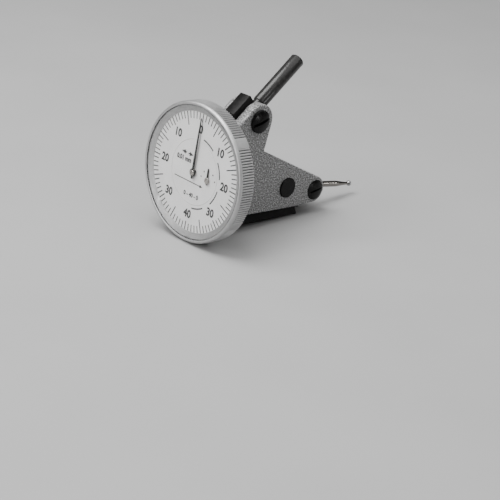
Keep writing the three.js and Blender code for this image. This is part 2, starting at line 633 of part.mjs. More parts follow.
// --------------------------------------------------------------------------- stylus
function buildStylus() {
  const group = new THREE.Group();
  group.position.set(...across(STYLUS_PIVOT));
  group.rotation.y = radians(STYLUS.droop);
  const hub = ring(0.52, 2.1, [-0.92, 0.92], 'y', [0, 0, 0]);
  const thread = rod(0.55, [1.15, 3], 'x', [0, 0, 0]);
  add(group, 'stylus_hub', cut(hub, thread), finish.blackOxide);
  const neckStart = stylusLength - STYLUS.ball - 0.25;
  const shaft = [
    [0, 1.25], [0.5, 1.25], [0.5, 2.2], [STYLUS.shaft, 2.2], [STYLUS.shaft, STYLUS.taperStart],
    [STYLUS.neck, neckStart], [STYLUS.neck, stylusLength - STYLUS.ball + 0.06],
    [0, stylusLength - STYLUS.ball + 0.06],
  ];
  const socket = new THREE.SphereGeometry(STYLUS.ball + 0.02, 14, 10).translate(stylusLength, 0, 0);
  add(group, 'stylus_shaft', cut(turned(shaft, 'x', SEGMENTS.medium), socket), finish.steel);
  const ball = new THREE.SphereGeometry(STYLUS.ball, 14, 10).translate(stylusLength, 0, 0);
  add(group, 'stylus_ball', closed(ball), finish.steel);
  tool.add(group);
}

// --------------------------------------------------------------- fork clamp and stem
function buildClamp() {
  const face = BODY_HALF_WIDTH + SEATING;
  const { radius, height, wall } = CLAMP_HEAD;
  const threadEnd = BODY_HALF_WIDTH + 0.2;
  const crown = [0, 0.35, 0.65, 0.85, 1]
    .map((part) => [part * radius, face + height - (height - wall) * part * part]);
  const profile = [
    ...crown, [radius, face], [CLAMP_SHANK, face], [CLAMP_SHANK, -threadEnd], [0, -threadEnd],
  ].map(([r, y]) => [r, -y]);
  const screw = cut(turned(profile, 'y', SEGMENTS.medium), headSlot(CLAMP_HEAD, face + 0.3, -1));
  add(tool, 'clamp_screw', screw.translate(...across(CLAMP)), finish.blackOxide);
  const top = face + CLAMP_NUT.height;
  const nut = turned([
    [CLAMP_NUT.bore, face], [radius, face], [radius, top - 0.35], [radius - 0.35, top],
    [CLAMP_NUT.bore, top], [CLAMP_NUT.bore, face],
  ], 'y', SEGMENTS.medium);
  const spanner = headSlot({ slot: CLAMP_HEAD.slot, turn: -CLAMP_NUT.turn }, face + 0.35, 1);
  add(tool, 'clamp_nut', cut(nut, spanner).translate(...across(CLAMP)), finish.blackOxide);
}

function buildStem() {
  const group = new THREE.Group();
  group.position.set(...across(CLAMP));
  group.rotation.y = -radians(STEM.slope);
  const { back, end, rear, front, width } = KNUCKLE;
  const outline = shapeOf([
    [back + 1.2, rear], [end, rear], [end, front - 0.5], [end - 0.5, front], [back + 0.9, front],
    [back, front - 0.9], [back, rear + 1.2],
  ]);
  const block = cut(sidePlate(outline, [-width / 2, width / 2]),
    rod(CLAMP_NUT.bore, [-4, 4], 'y', [0, 0, 0]),
    rod(STEM_THREAD + 0.05, [1.8, 4], 'x', [0, 0, STEM.offset]));
  add(group, 'knuckle', block, finish.blackOxide);
  const stem = turned([
    [0, 1.9], [STEM_THREAD, 1.9], [STEM_THREAD, end + CLEARANCE], [STEM.neck, end + CLEARANCE],
    [STEM.neck, STEM.start],
    [STEM.radius, STEM.start + 0.25], [STEM.radius, STEM.end - 0.35],
    [STEM.radius - 0.35, STEM.end], [0, STEM.end],
  ], 'x', SEGMENTS.medium, [0, 0, STEM.offset]);
  add(group, 'stem', stem, finish.blackOxide);
  tool.add(group);
}

buildCase();
buildRail();
buildBezel();
buildCrystal();
buildDial();
buildPlate();
buildCentre();
buildHairspring();
buildCounter();
buildBridge();
buildCrown();
buildSectorLever();
buildCarrier();
buildPivotScrews();
buildStylus();
buildClamp();
buildStem();

bezelGroup.rotation.x = scaleTurn;
tool.position.set(-(RAIL.start + RAIL.end) / 2, 0, -RAIL.bottom);

const indicator = new THREE.Group();
indicator.add(tool);
export default indicator;
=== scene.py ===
"""Looks of the lever dial indicator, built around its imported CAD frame. Metres, +Z up."""
import json
import math

import bmesh
import bpy
from mathutils import Matrix, Vector


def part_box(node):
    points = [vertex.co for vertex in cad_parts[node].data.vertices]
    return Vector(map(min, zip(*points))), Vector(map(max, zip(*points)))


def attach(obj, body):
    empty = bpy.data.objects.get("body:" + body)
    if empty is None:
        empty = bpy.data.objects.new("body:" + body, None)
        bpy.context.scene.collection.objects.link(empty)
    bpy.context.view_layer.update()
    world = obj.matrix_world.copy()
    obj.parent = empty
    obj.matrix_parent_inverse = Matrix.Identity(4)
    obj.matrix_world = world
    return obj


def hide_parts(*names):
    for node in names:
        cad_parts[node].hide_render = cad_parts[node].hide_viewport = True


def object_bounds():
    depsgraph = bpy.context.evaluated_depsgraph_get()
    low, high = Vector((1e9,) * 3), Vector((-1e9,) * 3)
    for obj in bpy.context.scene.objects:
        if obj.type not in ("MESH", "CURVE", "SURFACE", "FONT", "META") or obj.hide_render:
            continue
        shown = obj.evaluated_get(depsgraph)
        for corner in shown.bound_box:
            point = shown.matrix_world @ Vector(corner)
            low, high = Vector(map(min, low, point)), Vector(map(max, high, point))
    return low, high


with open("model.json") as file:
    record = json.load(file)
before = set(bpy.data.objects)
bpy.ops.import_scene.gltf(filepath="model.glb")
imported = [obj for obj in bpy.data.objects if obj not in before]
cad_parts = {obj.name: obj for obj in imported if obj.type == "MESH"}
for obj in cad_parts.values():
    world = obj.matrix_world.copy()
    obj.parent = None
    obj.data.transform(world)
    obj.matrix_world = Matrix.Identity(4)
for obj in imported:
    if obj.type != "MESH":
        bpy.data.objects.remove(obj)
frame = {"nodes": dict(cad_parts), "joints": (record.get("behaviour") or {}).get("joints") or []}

MM = 0.001  # names and drawings below are in millimetres and degrees, places in metres
cad_box = [list(corner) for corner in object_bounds()]

# ---------- places from the frame
joint_place = {j["name"]: Vector(j["pos_m"]) for j in frame["joints"]}
DIAL = joint_place["bezel_turn"]
CLAMP = joint_place["stem_swivel"]
LEVER_PIVOT = joint_place["sector_swing"]
STYLUS_PIVOT = joint_place["stylus_swing"]
COUNTER = joint_place["counter_turn"]

# ---------- angles that the CAD's pieces stand at
SCALE_TURN = math.radians(2.8)  # clockwise, as the dial's zero stands in the photograph
EAR_SLOPE = math.radians(42.5)
STEM_SLOPE = math.radians(42.1)
STYLUS_DROOP = math.radians(5.67)

# ---------- the camera
CAMERA_AZIMUTH = math.radians(-46.8)
CAMERA_ELEVATION = math.radians(20.0)
CAMERA_ROLL = math.radians(8.53)
CAMERA_DISTANCE = 0.3831
CAMERA_AIM = DIAL + Vector((16.95, -8.29, -21.67)) * MM
CAMERA_LENS = 100.8


def view_axes(azimuth, elevation, roll):
    """Right, up and back of a view, whose azimuth is 0 from -Y and -90 degrees from -X."""
    back = Vector((math.sin(azimuth) * math.cos(elevation),
                   -math.cos(azimuth) * math.cos(elevation), math.sin(elevation)))
    right = Vector((0, 0, 1)).cross(back).normalized()
    up = back.cross(right)
    turned_right = right * math.cos(roll) + up * math.sin(roll)
    turned_up = up * math.cos(roll) - right * math.sin(roll)
    return turned_right, turned_up, back


def axes_matrix(x_axis, y_axis, z_axis, place):
    matrix = Matrix((x_axis, y_axis, z_axis)).transposed().to_4x4()
    matrix.translation = place
    return matrix


def make_camera():
    right, up, back = view_axes(CAMERA_AZIMUTH, CAMERA_ELEVATION, CAMERA_ROLL)
    data = bpy.data.cameras.new("camera")
    data.lens = CAMERA_LENS
    data.sensor_width = 36
    data.clip_start = 0.01
    camera = bpy.data.objects.new("camera", data)
    bpy.context.scene.collection.objects.link(camera)
    camera.matrix_world = axes_matrix(right, up, back, CAMERA_AIM + back * CAMERA_DISTANCE)
    bpy.context.scene.camera = camera


# ---------- mesh helpers
MERGE_REACH = 0.0005 * MM
BEVEL_FROM = math.radians(50)  # sharper edges than this are rounded


def link(name, data):
    obj = bpy.data.objects.new(name, data)
    bpy.context.scene.collection.objects.link(obj)
    return obj


def from_bmesh(name, bm):
    bmesh.ops.recalc_face_normals(bm, faces=bm.faces)
    mesh = bpy.data.meshes.new(name)
    bm.to_mesh(mesh)
    bm.free()
    return link(name, mesh)


def evaluated_mesh(obj):
    graph = bpy.context.evaluated_depsgraph_get()
    return bpy.data.meshes.new_from_object(obj.evaluated_get(graph))


def frozen(obj):
    """Applies the object's modifiers to its mesh."""
    mesh = evaluated_mesh(obj)
    old = obj.data
    obj.modifiers.clear()
    obj.data = mesh
    bpy.data.meshes.remove(old)
    return obj


def cleaned(obj):
    """Merges the vertices that a cut or a bevel left on top of one another."""
    bm = bmesh.new()
    bm.from_mesh(obj.data)
    bmesh.ops.remove_doubles(bm, verts=bm.verts, dist=MERGE_REACH)
    bmesh.ops.dissolve_degenerate(bm, edges=bm.edges, dist=MERGE_REACH)
    bm.to_mesh(obj.data)
    bm.free()
    return obj


def boolean(obj, cutters, operation="DIFFERENCE"):
    """Cuts the cutters out of the object, or joins them to it, and removes them."""
    for cutter in cutters:
        modifier = obj.modifiers.new("cut", "BOOLEAN")
        modifier.operation = operation
        modifier.object = cutter
        modifier.solver = "EXACT"
        frozen(obj)
        bpy.data.objects.remove(cutter)
    return cleaned(obj)


def bevelled(obj, width, segments=2):
    """Rounds the sharp edges, by a width in millimetres."""
    modifier = obj.modifiers.new("edge", "BEVEL")
    modifier.width = width * MM
    modifier.segments = segments
    modifier.limit_method = "ANGLE"
    modifier.angle_limit = BEVEL_FROM
    modifier.miter_outer = "MITER_ARC"
    return cleaned(frozen(obj))


def placed(obj, matrix):
    """Moves the mesh itself, so that the object's origin stays at the row frame's."""
    obj.data.transform(matrix)
    return obj


def arc(centre, radius, start, end, steps):
    """Points on an arc, angles in degrees, ends included."""
    angles = [math.radians(start + (end - start) * k / steps) for k in range(steps + 1)]
    return [(centre[0] + radius * math.cos(a), centre[1] + radius * math.sin(a)) for a in angles]


def circle(radius, steps, centre=(0, 0)):
    return arc(centre, radius, 0, 360, steps)[:-1]


# The lathe turns about Z. These lay its axis along X or Y, or leave it along Z.
ABOUT_X = Matrix(((0, 0, 1), (0, 1, 0), (-1, 0, 0))).to_4x4()
ABOUT_Y = Matrix(((1, 0, 0), (0, 0, 1), (0, -1, 0))).to_4x4()
ABOUT_Z = Matrix.Identity(4)


def plain_radius(radius, position, angle):
    return radius


def lathe_row(bm, radius, position, steps, radius_at):
    """One ring of vertices, or a single vertex on the axis."""
    if radius == 0:
        return [bm.verts.new((0, 0, position * MM))]
    row = []
    for k in range(steps):
        angle = 2 * math.pi * k / steps
        r = radius_at(radius, position, angle)
        x, y = r * math.cos(angle) * MM, r * math.sin(angle) * MM
        row.append(bm.verts.new((x, y, position * MM)))
    return row


def turned(name, profile, place, axis, steps, radius_at=plain_radius):
    """A turned solid. profile is a list of (radius, position) in millimetres, on the axis at both
    ends or closed on itself. radius_at(radius, position, angle) may change the radius."""
    bm = bmesh.new()
    rows = [lathe_row(bm, radius, position, steps, radius_at) for radius, position in profile]
    pairs = list(zip(rows, rows[1:]))
    on_axis = profile[0][0] == 0 and profile[-1][0] == 0
    if not on_axis:
        pairs.append((rows[-1], rows[0]))
    for low, high in pairs:
        for k in range(steps):
            corners = [low[k % len(low)], low[(k + 1) % steps % len(low)],
                       high[(k + 1) % steps % len(high)], high[k % len(high)]]
            distinct = list(dict.fromkeys(corners))
            if len(distinct) > 2:
                bm.faces.new(distinct)
    obj = from_bmesh(name, bm)
    return placed(obj, Matrix.Translation(place) @ axis)


def inward_steps(outline):
    """For each corner, the way it moves when every side moves in by one millimetre."""
    steps = []
    for k, corner in enumerate(outline):
        ahead = Vector(outline[(k + 1) % len(outline)]) - Vector(corner)
        behind = Vector(corner) - Vector(outline[k - 1])
        along = (ahead.normalized() + behind.normalized()).normalized()
        shortening = max(0.5, along.dot(ahead.normalized()))
        steps.append(Vector((-along.y, along.x)) / shortening)
    return steps


def rounded_plate(name, outline, half, edge, steps=4):
    """A plate drawn in (x, z) millimetres and centred on y = 0, with its edges rounded. The
    outline runs anticlockwise."""
    count = len(outline)
    inward = inward_steps(outline)
    layers = [(edge * (1 - math.sin(a)), half - edge * (1 - math.cos(a)))
              for a in (math.pi / 2 * k / steps for k in range(steps + 1))]
    stack = [(inset, -y) for inset, y in layers] + [(inset, y) for inset, y in reversed(layers)]
    bm = bmesh.new()
    rings = []
    for inset, y in stack:
        moved = [Vector(point) + step * inset for point, step in zip(outline, inward)]
        rings.append([bm.verts.new((p.x * MM, y * MM, p.y * MM)) for p in moved])
    for low, high in zip(rings, rings[1:]):
        for k in range(count):
            bm.faces.new((low[k], low[(k + 1) % count], high[(k + 1) % count], high[k]))
    bm.faces.new(rings[0])
    bm.faces.new(reversed(rings[-1]))
    return from_bmesh(name, bm)


def prism(name, outline, low, high, matrix=Matrix.Identity(4)):
    """A straight-sided solid drawn in (x, y) millimetres, between two heights in millimetres."""
    bm = bmesh.new()
    bottom = [bm.verts.new((x * MM, y * MM, low * MM)) for x, y in outline]
    top = [bm.verts.new((x * MM, y * MM, high * MM)) for x, y in outline]
    count = len(outline)
    for k in range(count):
        bm.faces.new((bottom[k], bottom[(k + 1) % count], top[(k + 1) % count], top[k]))
    bm.faces.new(bottom)
    bm.faces.new(top)
    return placed(from_bmesh(name, bm), matrix)


# A drawing in (x, y) becomes one in (x, z) seen from -Y, and one on the dial's face.
SIDE = Matrix(((1, 0, 0), (0, 0, -1), (0, 1, 0))).to_4x4()
FACE = Matrix(((0, 0, -1), (-1, 0, 0), (0, 1, 0))).to_4x4()


def block(name, low, high):
    """A box between two corners in millimetres."""
    outline = [(low[0], low[1]), (high[0], low[1]), (high[0], high[1]), (low[0], high[1])]
    return prism(name, outline, low[2], high[2])


# ---------- material helpers
def new_material(name, roughness=0.5, metallic=0.0):
    material = bpy.data.materials.new(name)
    material.use_nodes = True
    shader = material.node_tree.nodes["Principled BSDF"]
    shader.inputs["Roughness"].default_value = roughness
    shader.inputs["Metallic"].default_value = metallic
    return material, material.node_tree, shader


def grey(value, warmth=0.0):
    return (value * (1 + warmth), value, value * (1 - warmth), 1)


def scaled(colour, factor):
    return tuple(channel * factor for channel in colour[:3]) + (1,)


def millimetres(tree, squeeze=(1, 1, 1)):
    """Coordinates on the piece in millimetres. A squeeze makes a grain finer along an axis."""
    coordinates = tree.nodes.new("ShaderNodeTexCoord")
    mapping = tree.nodes.new("ShaderNodeMapping")
    mapping.inputs["Scale"].default_value = Vector(squeeze) / MM
    tree.links.new(coordinates.outputs["Object"], mapping.inputs["Vector"])
    return mapping.outputs["Vector"]


def noise(tree, vector, scale, detail=2.0, roughness=0.5):
    """A noise factor. scale is in features per millimetre."""
    node = tree.nodes.new("ShaderNodeTexNoise")
    node.inputs["Scale"].default_value = scale
    node.inputs["Detail"].default_value = detail
    node.inputs["Roughness"].default_value = roughness
    tree.links.new(vector, node.inputs["Vector"])
    return node.outputs["Fac"]


def ramp(tree, factor, *stops):
    """Maps a factor to colours; each stop is (position, colour)."""
    node = tree.nodes.new("ShaderNodeValToRGB")
    elements = node.color_ramp.elements
    while len(elements) < len(stops):
        elements.new(0.5)
    for element, (position, colour) in zip(elements, stops):
        element.position = position
        element.color = colour
    tree.links.new(factor, node.inputs["Fac"])
    return node.outputs["Color"]


def spread(tree, factor, low, high, start=0.3, end=0.7):
    """Maps a factor between start and end to a number between low and high."""
    node = tree.nodes.new("ShaderNodeMapRange")
    node.inputs["From Min"].default_value = start
    node.inputs["From Max"].default_value = end
    node.inputs["To Min"].default_value = low
    node.inputs["To Max"].default_value = high
    tree.links.new(factor, node.inputs["Value"])
    return node.outputs["Result"]


def combined(tree, first, second, blend="MULTIPLY"):
    """Multiplies two colours, or adds them."""
    node = tree.nodes.new("ShaderNodeMix")
    node.data_type = "RGBA"
    node.blend_type = blend
    node.inputs["Factor"].default_value = 1.0
    colours_in = [socket for socket in node.inputs if socket.type == "RGBA"]
    tree.links.new(first, colours_in[0])
    tree.links.new(second, colours_in[1])
    return [socket for socket in node.outputs if socket.type == "RGBA"][0]


def bumped(tree, shader, *layers):
    """Adds bump layers to a shader; each is (height, depth in millimetres)."""
    normal = None
    for height, depth in layers:
        node = tree.nodes.new("ShaderNodeBump")
        node.inputs["Strength"].default_value = 1.0
        node.inputs["Distance"].default_value = depth * MM
        tree.links.new(height, node.inputs["Height"])
        if normal:
            tree.links.new(normal, node.inputs["Normal"])
        normal = node.outputs["Normal"]
    tree.links.new(normal, shader.inputs["Normal"])


# ---------- materials
# How far a grain's features are squeezed along X, Y and Z: numbers under 1 lengthen them.
TURNING_MARKS = (14, 0.4, 0.4)
DRAWN_GRAIN = (0.2, 1, 0.2)


def speckled_paint():
    """The grey hammered paint of the case, in light and dark specks."""
    material, tree, shader = new_material("speckled_paint", metallic=0.15)
    place = millimetres(tree)
    speckle = noise(tree, place, scale=2.5, detail=3.0, roughness=0.65)
    fine = noise(tree, place, scale=6.5, roughness=0.6)
    patches = noise(tree, place, scale=0.16)
    base = ramp(tree, speckle, (0.36, grey(0.06)), (0.47, grey(0.18)), (0.54, grey(0.29)),
                (0.66, grey(0.66)))
    grain = ramp(tree, fine, (0.35, grey(0.72)), (0.65, grey(1.0)))
    cloud = ramp(tree, patches, (0.3, grey(0.9)), (0.7, grey(1.0)))
    colour = combined(tree, combined(tree, base, grain), cloud)
    tree.links.new(colour, shader.inputs["Base Color"])
    tree.links.new(spread(tree, speckle, low=0.62, high=0.42), shader.inputs["Roughness"])
    bumped(tree, shader, (speckle, 0.10), (fine, 0.03))
    return material


def satin_metal(name, colour, roughness, grain_depth):
    """Bright metal with a fine grain and slight handling stains."""
    material, tree, shader = new_material(name, metallic=1.0)
    place = millimetres(tree)
    grain = noise(tree, place, scale=9.0, detail=3.0, roughness=0.6)
    stains = noise(tree, place, scale=0.35, detail=4.0, roughness=0.6)
    base = ramp(tree, grain, (0.3, scaled(colour, 0.86)), (0.7, colour))
    stain = ramp(tree, stains, (0.35, grey(0.9)), (0.6, grey(1.0)))
    tree.links.new(combined(tree, base, stain), shader.inputs["Base Color"])
    tree.links.new(spread(tree, stains, low=roughness * 1.25, high=roughness * 0.9),
                   shader.inputs["Roughness"])
    bumped(tree, shader, (grain, grain_depth))
    return material


def turned_metal(name, tone, roughness, warmth=0.0):
    """Ground or turned metal, with fine rings about X."""
    material, tree, shader = new_material(name, metallic=1.0)
    lines = noise(tree, millimetres(tree, TURNING_MARKS), scale=1.0, detail=3.0, roughness=0.6)
    stains = noise(tree, millimetres(tree), scale=0.8, detail=3.0)
    base = ramp(tree, lines, (0.3, grey(tone * 0.8, warmth)), (0.7, grey(tone, warmth)))
    tree.links.new(base, shader.inputs["Base Color"])
    tree.links.new(spread(tree, stains, low=roughness * 1.4, high=roughness * 0.8),
                   shader.inputs["Roughness"])
    bumped(tree, shader, (lines, 0.006))
    return material


def black_oxide(name, roughness, tone=0.004, grain_depth=0.012, squeeze=(1, 1, 1),
                specular=0.12):
    """Oiled black-oxide steel: near black, with a faint grain and rubbed patches."""
    material, tree, shader = new_material(name)
    shader.inputs["Specular IOR Level"].default_value = specular
    grain = noise(tree, millimetres(tree, squeeze), scale=7.0, detail=3.0, roughness=0.6)
    rubbed = noise(tree, millimetres(tree), scale=0.9, detail=4.0, roughness=0.65)
    base = ramp(tree, grain, (0.3, grey(tone * 0.6)), (0.7, grey(tone * 1.5, 0.03)))
    worn = ramp(tree, rubbed, (0.52, grey(0.0)), (0.75, grey(0.009, 0.05)))
    tree.links.new(combined(tree, base, worn, "ADD"), shader.inputs["Base Color"])
    tree.links.new(spread(tree, rubbed, low=roughness, high=roughness * 1.6),
                   shader.inputs["Roughness"])
    bumped(tree, shader, (grain, grain_depth))
    return material


def dial_paint():
    """Off-white paint with a faint mottle."""
    material, tree, shader = new_material("dial_paint", roughness=0.6)
    place = millimetres(tree)
    mottle = noise(tree, place, scale=0.22, detail=3.0)
    grain = noise(tree, place, scale=11.0)
    base = ramp(tree, mottle, (0.3, grey(0.70, 0.008)), (0.7, grey(0.76, 0.006)))
    speck = ramp(tree, grain, (0.3, grey(0.955)), (0.6, grey(1.0)))
    tree.links.new(combined(tree, base, speck), shader.inputs["Base Color"])
    tree.links.new(spread(tree, grain, low=0.66, high=0.5), shader.inputs["Roughness"])
    bumped(tree, shader, (grain, 0.004))
    return material


def ink(name, tone, roughness, specular):
    """Printed or painted black, nearly even."""
    material, tree, shader = new_material(name)
    shader.inputs["Specular IOR Level"].default_value = specular
    grain = noise(tree, millimetres(tree), scale=14.0)
    tree.links.new(ramp(tree, grain, (0.3, grey(tone * 0.6)), (0.7, grey(tone * 1.4))),
                   shader.inputs["Base Color"])
    tree.links.new(spread(tree, grain, low=roughness, high=roughness * 0.75),
                   shader.inputs["Roughness"])
    bumped(tree, shader, (grain, 0.004))
    return material


def clear_acrylic():
    """Clear, except for the reflections on its skin, which grow at grazing angles."""
    material, tree, shader = new_material("clear_acrylic", metallic=1.0)
    shader.inputs["Base Color"].default_value = grey(0.95)
    haze = noise(tree, millimetres(tree), scale=1.6, detail=5.0, roughness=0.7)
    tree.links.new(spread(tree, haze, low=0.03, high=0.10), shader.inputs["Roughness"])
    clear = tree.nodes.new("ShaderNodeBsdfTransparent")
    facing = tree.nodes.new("ShaderNodeLayerWeight")
    facing.inputs["Blend"].default_value = 0.5
    skin = spread(tree, facing.outputs["Facing"], low=0.022, high=0.6, start=0.45, end=1.0)
    mix = tree.nodes.new("ShaderNodeMixShader")
    output = tree.nodes["Material Output"]
    tree.links.new(skin, mix.inputs["Fac"])
    tree.links.new(clear.outputs["BSDF"], mix.inputs[1])
    tree.links.new(shader.outputs["BSDF"], mix.inputs[2])
    tree.links.new(mix.outputs["Shader"], output.inputs["Surface"])
    return material


BLUED = (0.30, 0.32, 0.38, 1)
YELLOW = (0.62, 0.45, 0.2, 1)

PAINT = speckled_paint()
CHROME = satin_metal("satin_chrome", grey(0.52), roughness=0.5, grain_depth=0.012)
# A darker copy of the chrome, used as painted shade on the floors of the knurl's grooves.
GROOVE_SHADE = satin_metal("knurl_groove_shade", grey(0.16), roughness=0.6, grain_depth=0.012)
SPRING = satin_metal("spring_steel", BLUED, roughness=0.3, grain_depth=0.006)
# The carbide is darkened as painted shade, standing in for the dark reflections under the ball.
CARBIDE = satin_metal("carbide", grey(0.36), roughness=0.06, grain_depth=0.001)
BRASS = satin_metal("brass", YELLOW, roughness=0.3, grain_depth=0.008)
FLANGE = turned_metal("turned_flange", tone=0.48, roughness=0.5)
STEEL = turned_metal("ground_steel", tone=0.4, roughness=0.16, warmth=0.06)
# A darker copy of the ground steel for the stylus: painted shade, standing in for the dark
# reflections under the shaft.
STYLUS_STEEL_SHADED = turned_metal("stylus_steel_shaded", tone=0.26, roughness=0.14, warmth=0.06)
# A darker steel for the ring at the crystal's edge: painted shade and painted dark reflection.
SHADE_RING_STEEL = turned_metal("shade_ring_steel", tone=0.28, roughness=0.25)
BLACK = black_oxide("black_oxide", roughness=0.17)
RAIL_BLACK = black_oxide("rail_black", roughness=0.42, grain_depth=0.02)
KNUCKLE_BLACK = black_oxide("knuckle_black", roughness=0.3, tone=0.006)
STEM_BLACK = black_oxide("stem_black", roughness=0.18, tone=0.02, grain_depth=0.006,
                         squeeze=DRAWN_GRAIN, specular=0.33)
DIAL_PAINT = dial_paint()
PRINT = ink("dial_print", tone=0.008, roughness=0.5, specular=0.5)
HAND_BLACK = ink("hand_black", tone=0.005, roughness=0.4, specular=0.2)
ACRYLIC = clear_acrylic()


# ---------- placing and finishing
def at(x, y=0.0, z=0.0):
    """A point in the dial's frame, in millimetres, as a point in the row frame."""
    return DIAL + Vector((x, y, z)) * MM


def side_mm(point):
    """(x, z) of a point in the dial's frame, in millimetres."""
    offset = (point - DIAL) / MM
    return offset.x, offset.z


def in_dial_frame(obj):
    return placed(obj, Matrix.Translation(DIAL))


def finished(obj, body, material, slot, *nodes, smooth_below=32):
    """Gives a finished piece its look, its body and the CAD nodes that it stands for."""
    mesh = obj.data
    mesh.polygons.foreach_set("use_smooth", [True] * len(mesh.polygons))
    mesh.set_sharp_from_angle(angle=math.radians(smooth_below))
    mesh.materials.clear()
    mesh.materials.append(material)
    if nodes:
        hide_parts(*nodes)
    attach(obj, body)
    return obj


def slot_cutter(width, bottom, top, angle, length=10):
    """A cutter for a screwdriver slot across a head that faces along the drawing's height."""
    half, reach = width / 2, length / 2
    outline = [(-reach, -half), (reach, -half), (reach, half), (-reach, half)]
    turn = Matrix.Rotation(math.radians(angle), 4, "Z")
    return prism("slot", outline, bottom, top, turn)


def drilled(name, radius, low, high, place, axis, steps=32):
    """A round cutter, for a bore between two positions on its axis."""
    return turned(name, [(0, low), (radius, low), (radius, high), (0, high)], place, axis, steps)


# ---------- the case
UNDERSIDE = -12.85
UNDERSIDE_END = 37
CUP_RADIUS = 17.1
CUP_INNER = 16.2
CUP_FRONT = 0.7
CUP_FLOOR = 3.3
CUP_BACK = 4.3
CUP_ROUNDING = 0.35
RING_GROOVE = (CUP_RADIUS - 0.35, 2.3, 2.9)  # its radius, start and end
HALF_WIDTH = 4.8
FORK_HALF = 1.95
FORK_SLOT_RADIUS = 7.9
NOSE_RADIUS = 3.8
NOSE_HALF = 1.7
TOP_FACING = 67  # the way that the edge between the nose and the ear faces
EAR_RADIUS = 4.75
EAR_FOOT = (21.3, 5.55)
EAR_FOOT_RADIUS = 0.6
CASE_EDGE = 0.55
SLOT_EDGE = 0.3
CAVITY_HALF = 3.4
CAVITY_FLOOR = -11.5
PIVOT_BORE = 1.45
CLAMP_BORE = 1.6
THREAD_BORE = 0.65
PASSAGE_BORES = {"hand_turn": 0.5, "counter_turn": 0.3, "idler_turn": 0.3}


def case_outline():
    """The case from the side: underside, nose, top edge, ear and its slope down to the cup."""
    clamp_x, clamp_z = side_mm(CLAMP)
    ear = (clamp_x + 0.3, clamp_z - 0.15)
    start = CUP_BACK - 0.5
    outline = [(start, UNDERSIDE), (UNDERSIDE_END, UNDERSIDE)]
    outline += arc(side_mm(STYLUS_PIVOT), NOSE_RADIUS, -98, TOP_FACING, 22)
    outline += arc(EAR_FOOT, EAR_FOOT_RADIUS, TOP_FACING + 180, 180, 4)
    outline += arc(ear, EAR_RADIUS, -8, math.degrees(EAR_SLOPE) + 90, 26)
    last_x, last_z = outline[-1]
    outline.append((start, last_z - (last_x - start) * math.tan(EAR_SLOPE)))
    return outline


def case_cup():
    groove_radius, groove_start, groove_end = RING_GROOVE
    profile = [(0, CUP_FLOOR), (CUP_INNER, CUP_FLOOR), (CUP_INNER, 0.8),
               (CUP_INNER + 0.1, CUP_FRONT), (CUP_RADIUS - 0.1, CUP_FRONT), (CUP_RADIUS, 0.8),
               (CUP_RADIUS, groove_start), (groove_radius, groove_start),
               (groove_radius, groove_end), (CUP_RADIUS, groove_end),
               (CUP_RADIUS, CUP_BACK - CUP_ROUNDING), (CUP_RADIUS - 0.1, CUP_BACK - 0.1),
               (CUP_RADIUS - CUP_ROUNDING, CUP_BACK), (0, CUP_BACK)]
    return turned("cup", profile, DIAL, ABOUT_X, steps=120)


def rail_screw_places():
    """The two rail screws' positions along the case, in millimetres."""
    return [side_mm(sum(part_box(f"rail_screw_{k}"), Vector()) / 2)[0] for k in (1, 2)]


def case_hollows():
    """Cutters for the cavity, the fork's slot, the nose's slot and the opening underneath."""
    cavity = [(3.8, CAVITY_FLOOR), (37.6, CAVITY_FLOOR), (37.6, -3.4), (20.5, 3.9), (17, 4.6),
              (12.3, 6.3), (3.8, 6.3)]
    fork = circle(FORK_SLOT_RADIUS, 72, side_mm(CLAMP))
    root_half = NOSE_HALF - 0.001
    hollows = [
        prism("cavity", cavity, -CAVITY_HALF, CAVITY_HALF, SIDE),
        prism("fork", fork, -FORK_HALF, FORK_HALF, SIDE),
        block("nose", (41, -NOSE_HALF, -14), (50, NOSE_HALF, 0)),
        block("nose_root", (37, -root_half, -11), (45, root_half, -4.8)),
        block("floor_opening", (13, -2.6, UNDERSIDE - 1), (29, 2.6, -11)),
    ]
    return [in_dial_frame(hollow) for hollow in hollows]


def case_bores():
    """Cutters for the screws' bores and the arbors' passages through the cup's floor."""
    bores = []
    across = HALF_WIDTH + 1
    sides = ((LEVER_PIVOT, PIVOT_BORE), (STYLUS_PIVOT, PIVOT_BORE), (CLAMP, CLAMP_BORE))
    for pivot, radius in sides:
        bores.append(drilled("bore", radius, -across, across, pivot, ABOUT_Y))
    for x in rail_screw_places():
        bores.append(drilled("thread", THREAD_BORE, -14, -10, at(x), ABOUT_Z, steps=24))
    for name, radius in PASSAGE_BORES.items():
        bores.append(drilled("passage", radius, 2.5, 5, joint_place[name], ABOUT_X, steps=22))
    return bores


def is_slot_edge(edge):
    """Whether an edge is sharp and lies on an inner face of the fork or of the nose."""
    same, shortest = 1e-6, 0.02 * MM
    if len(edge.link_faces) != 2 or not edge.is_convex:
        return False
    if edge.calc_face_angle() <= BEVEL_FROM or edge.calc_length() <= shortest:
        return False
    distances = [abs(vertex.co.y) for vertex in edge.verts]
    planes = (FORK_HALF * MM, NOSE_HALF * MM)
    return any(all(abs(d - plane) < same for d in distances) for plane in planes)


def rounded_slot_edges(obj):
    """Rounds the edges where the fork's and the nose's inner faces meet the outside."""
    bm = bmesh.new()
    bm.from_mesh(obj.data)
    chosen = [edge for edge in bm.edges if is_slot_edge(edge)]
    bmesh.ops.bevel(bm, geom=chosen, offset=SLOT_EDGE * MM, segments=3, affect="EDGES",
                    profile=0.5, clamp_overlap=False)
    bm.to_mesh(obj.data)
    bm.free()


def make_housing():
    body = in_dial_frame(rounded_plate("housing_body", case_outline(), HALF_WIDTH, CASE_EDGE))
    boolean(body, [case_cup()], "UNION")
    boolean(body, case_hollows() + case_bores())
    rounded_slot_edges(body)
    finished(body, "case", PAINT, "case_paint", "housing", smooth_below=35)


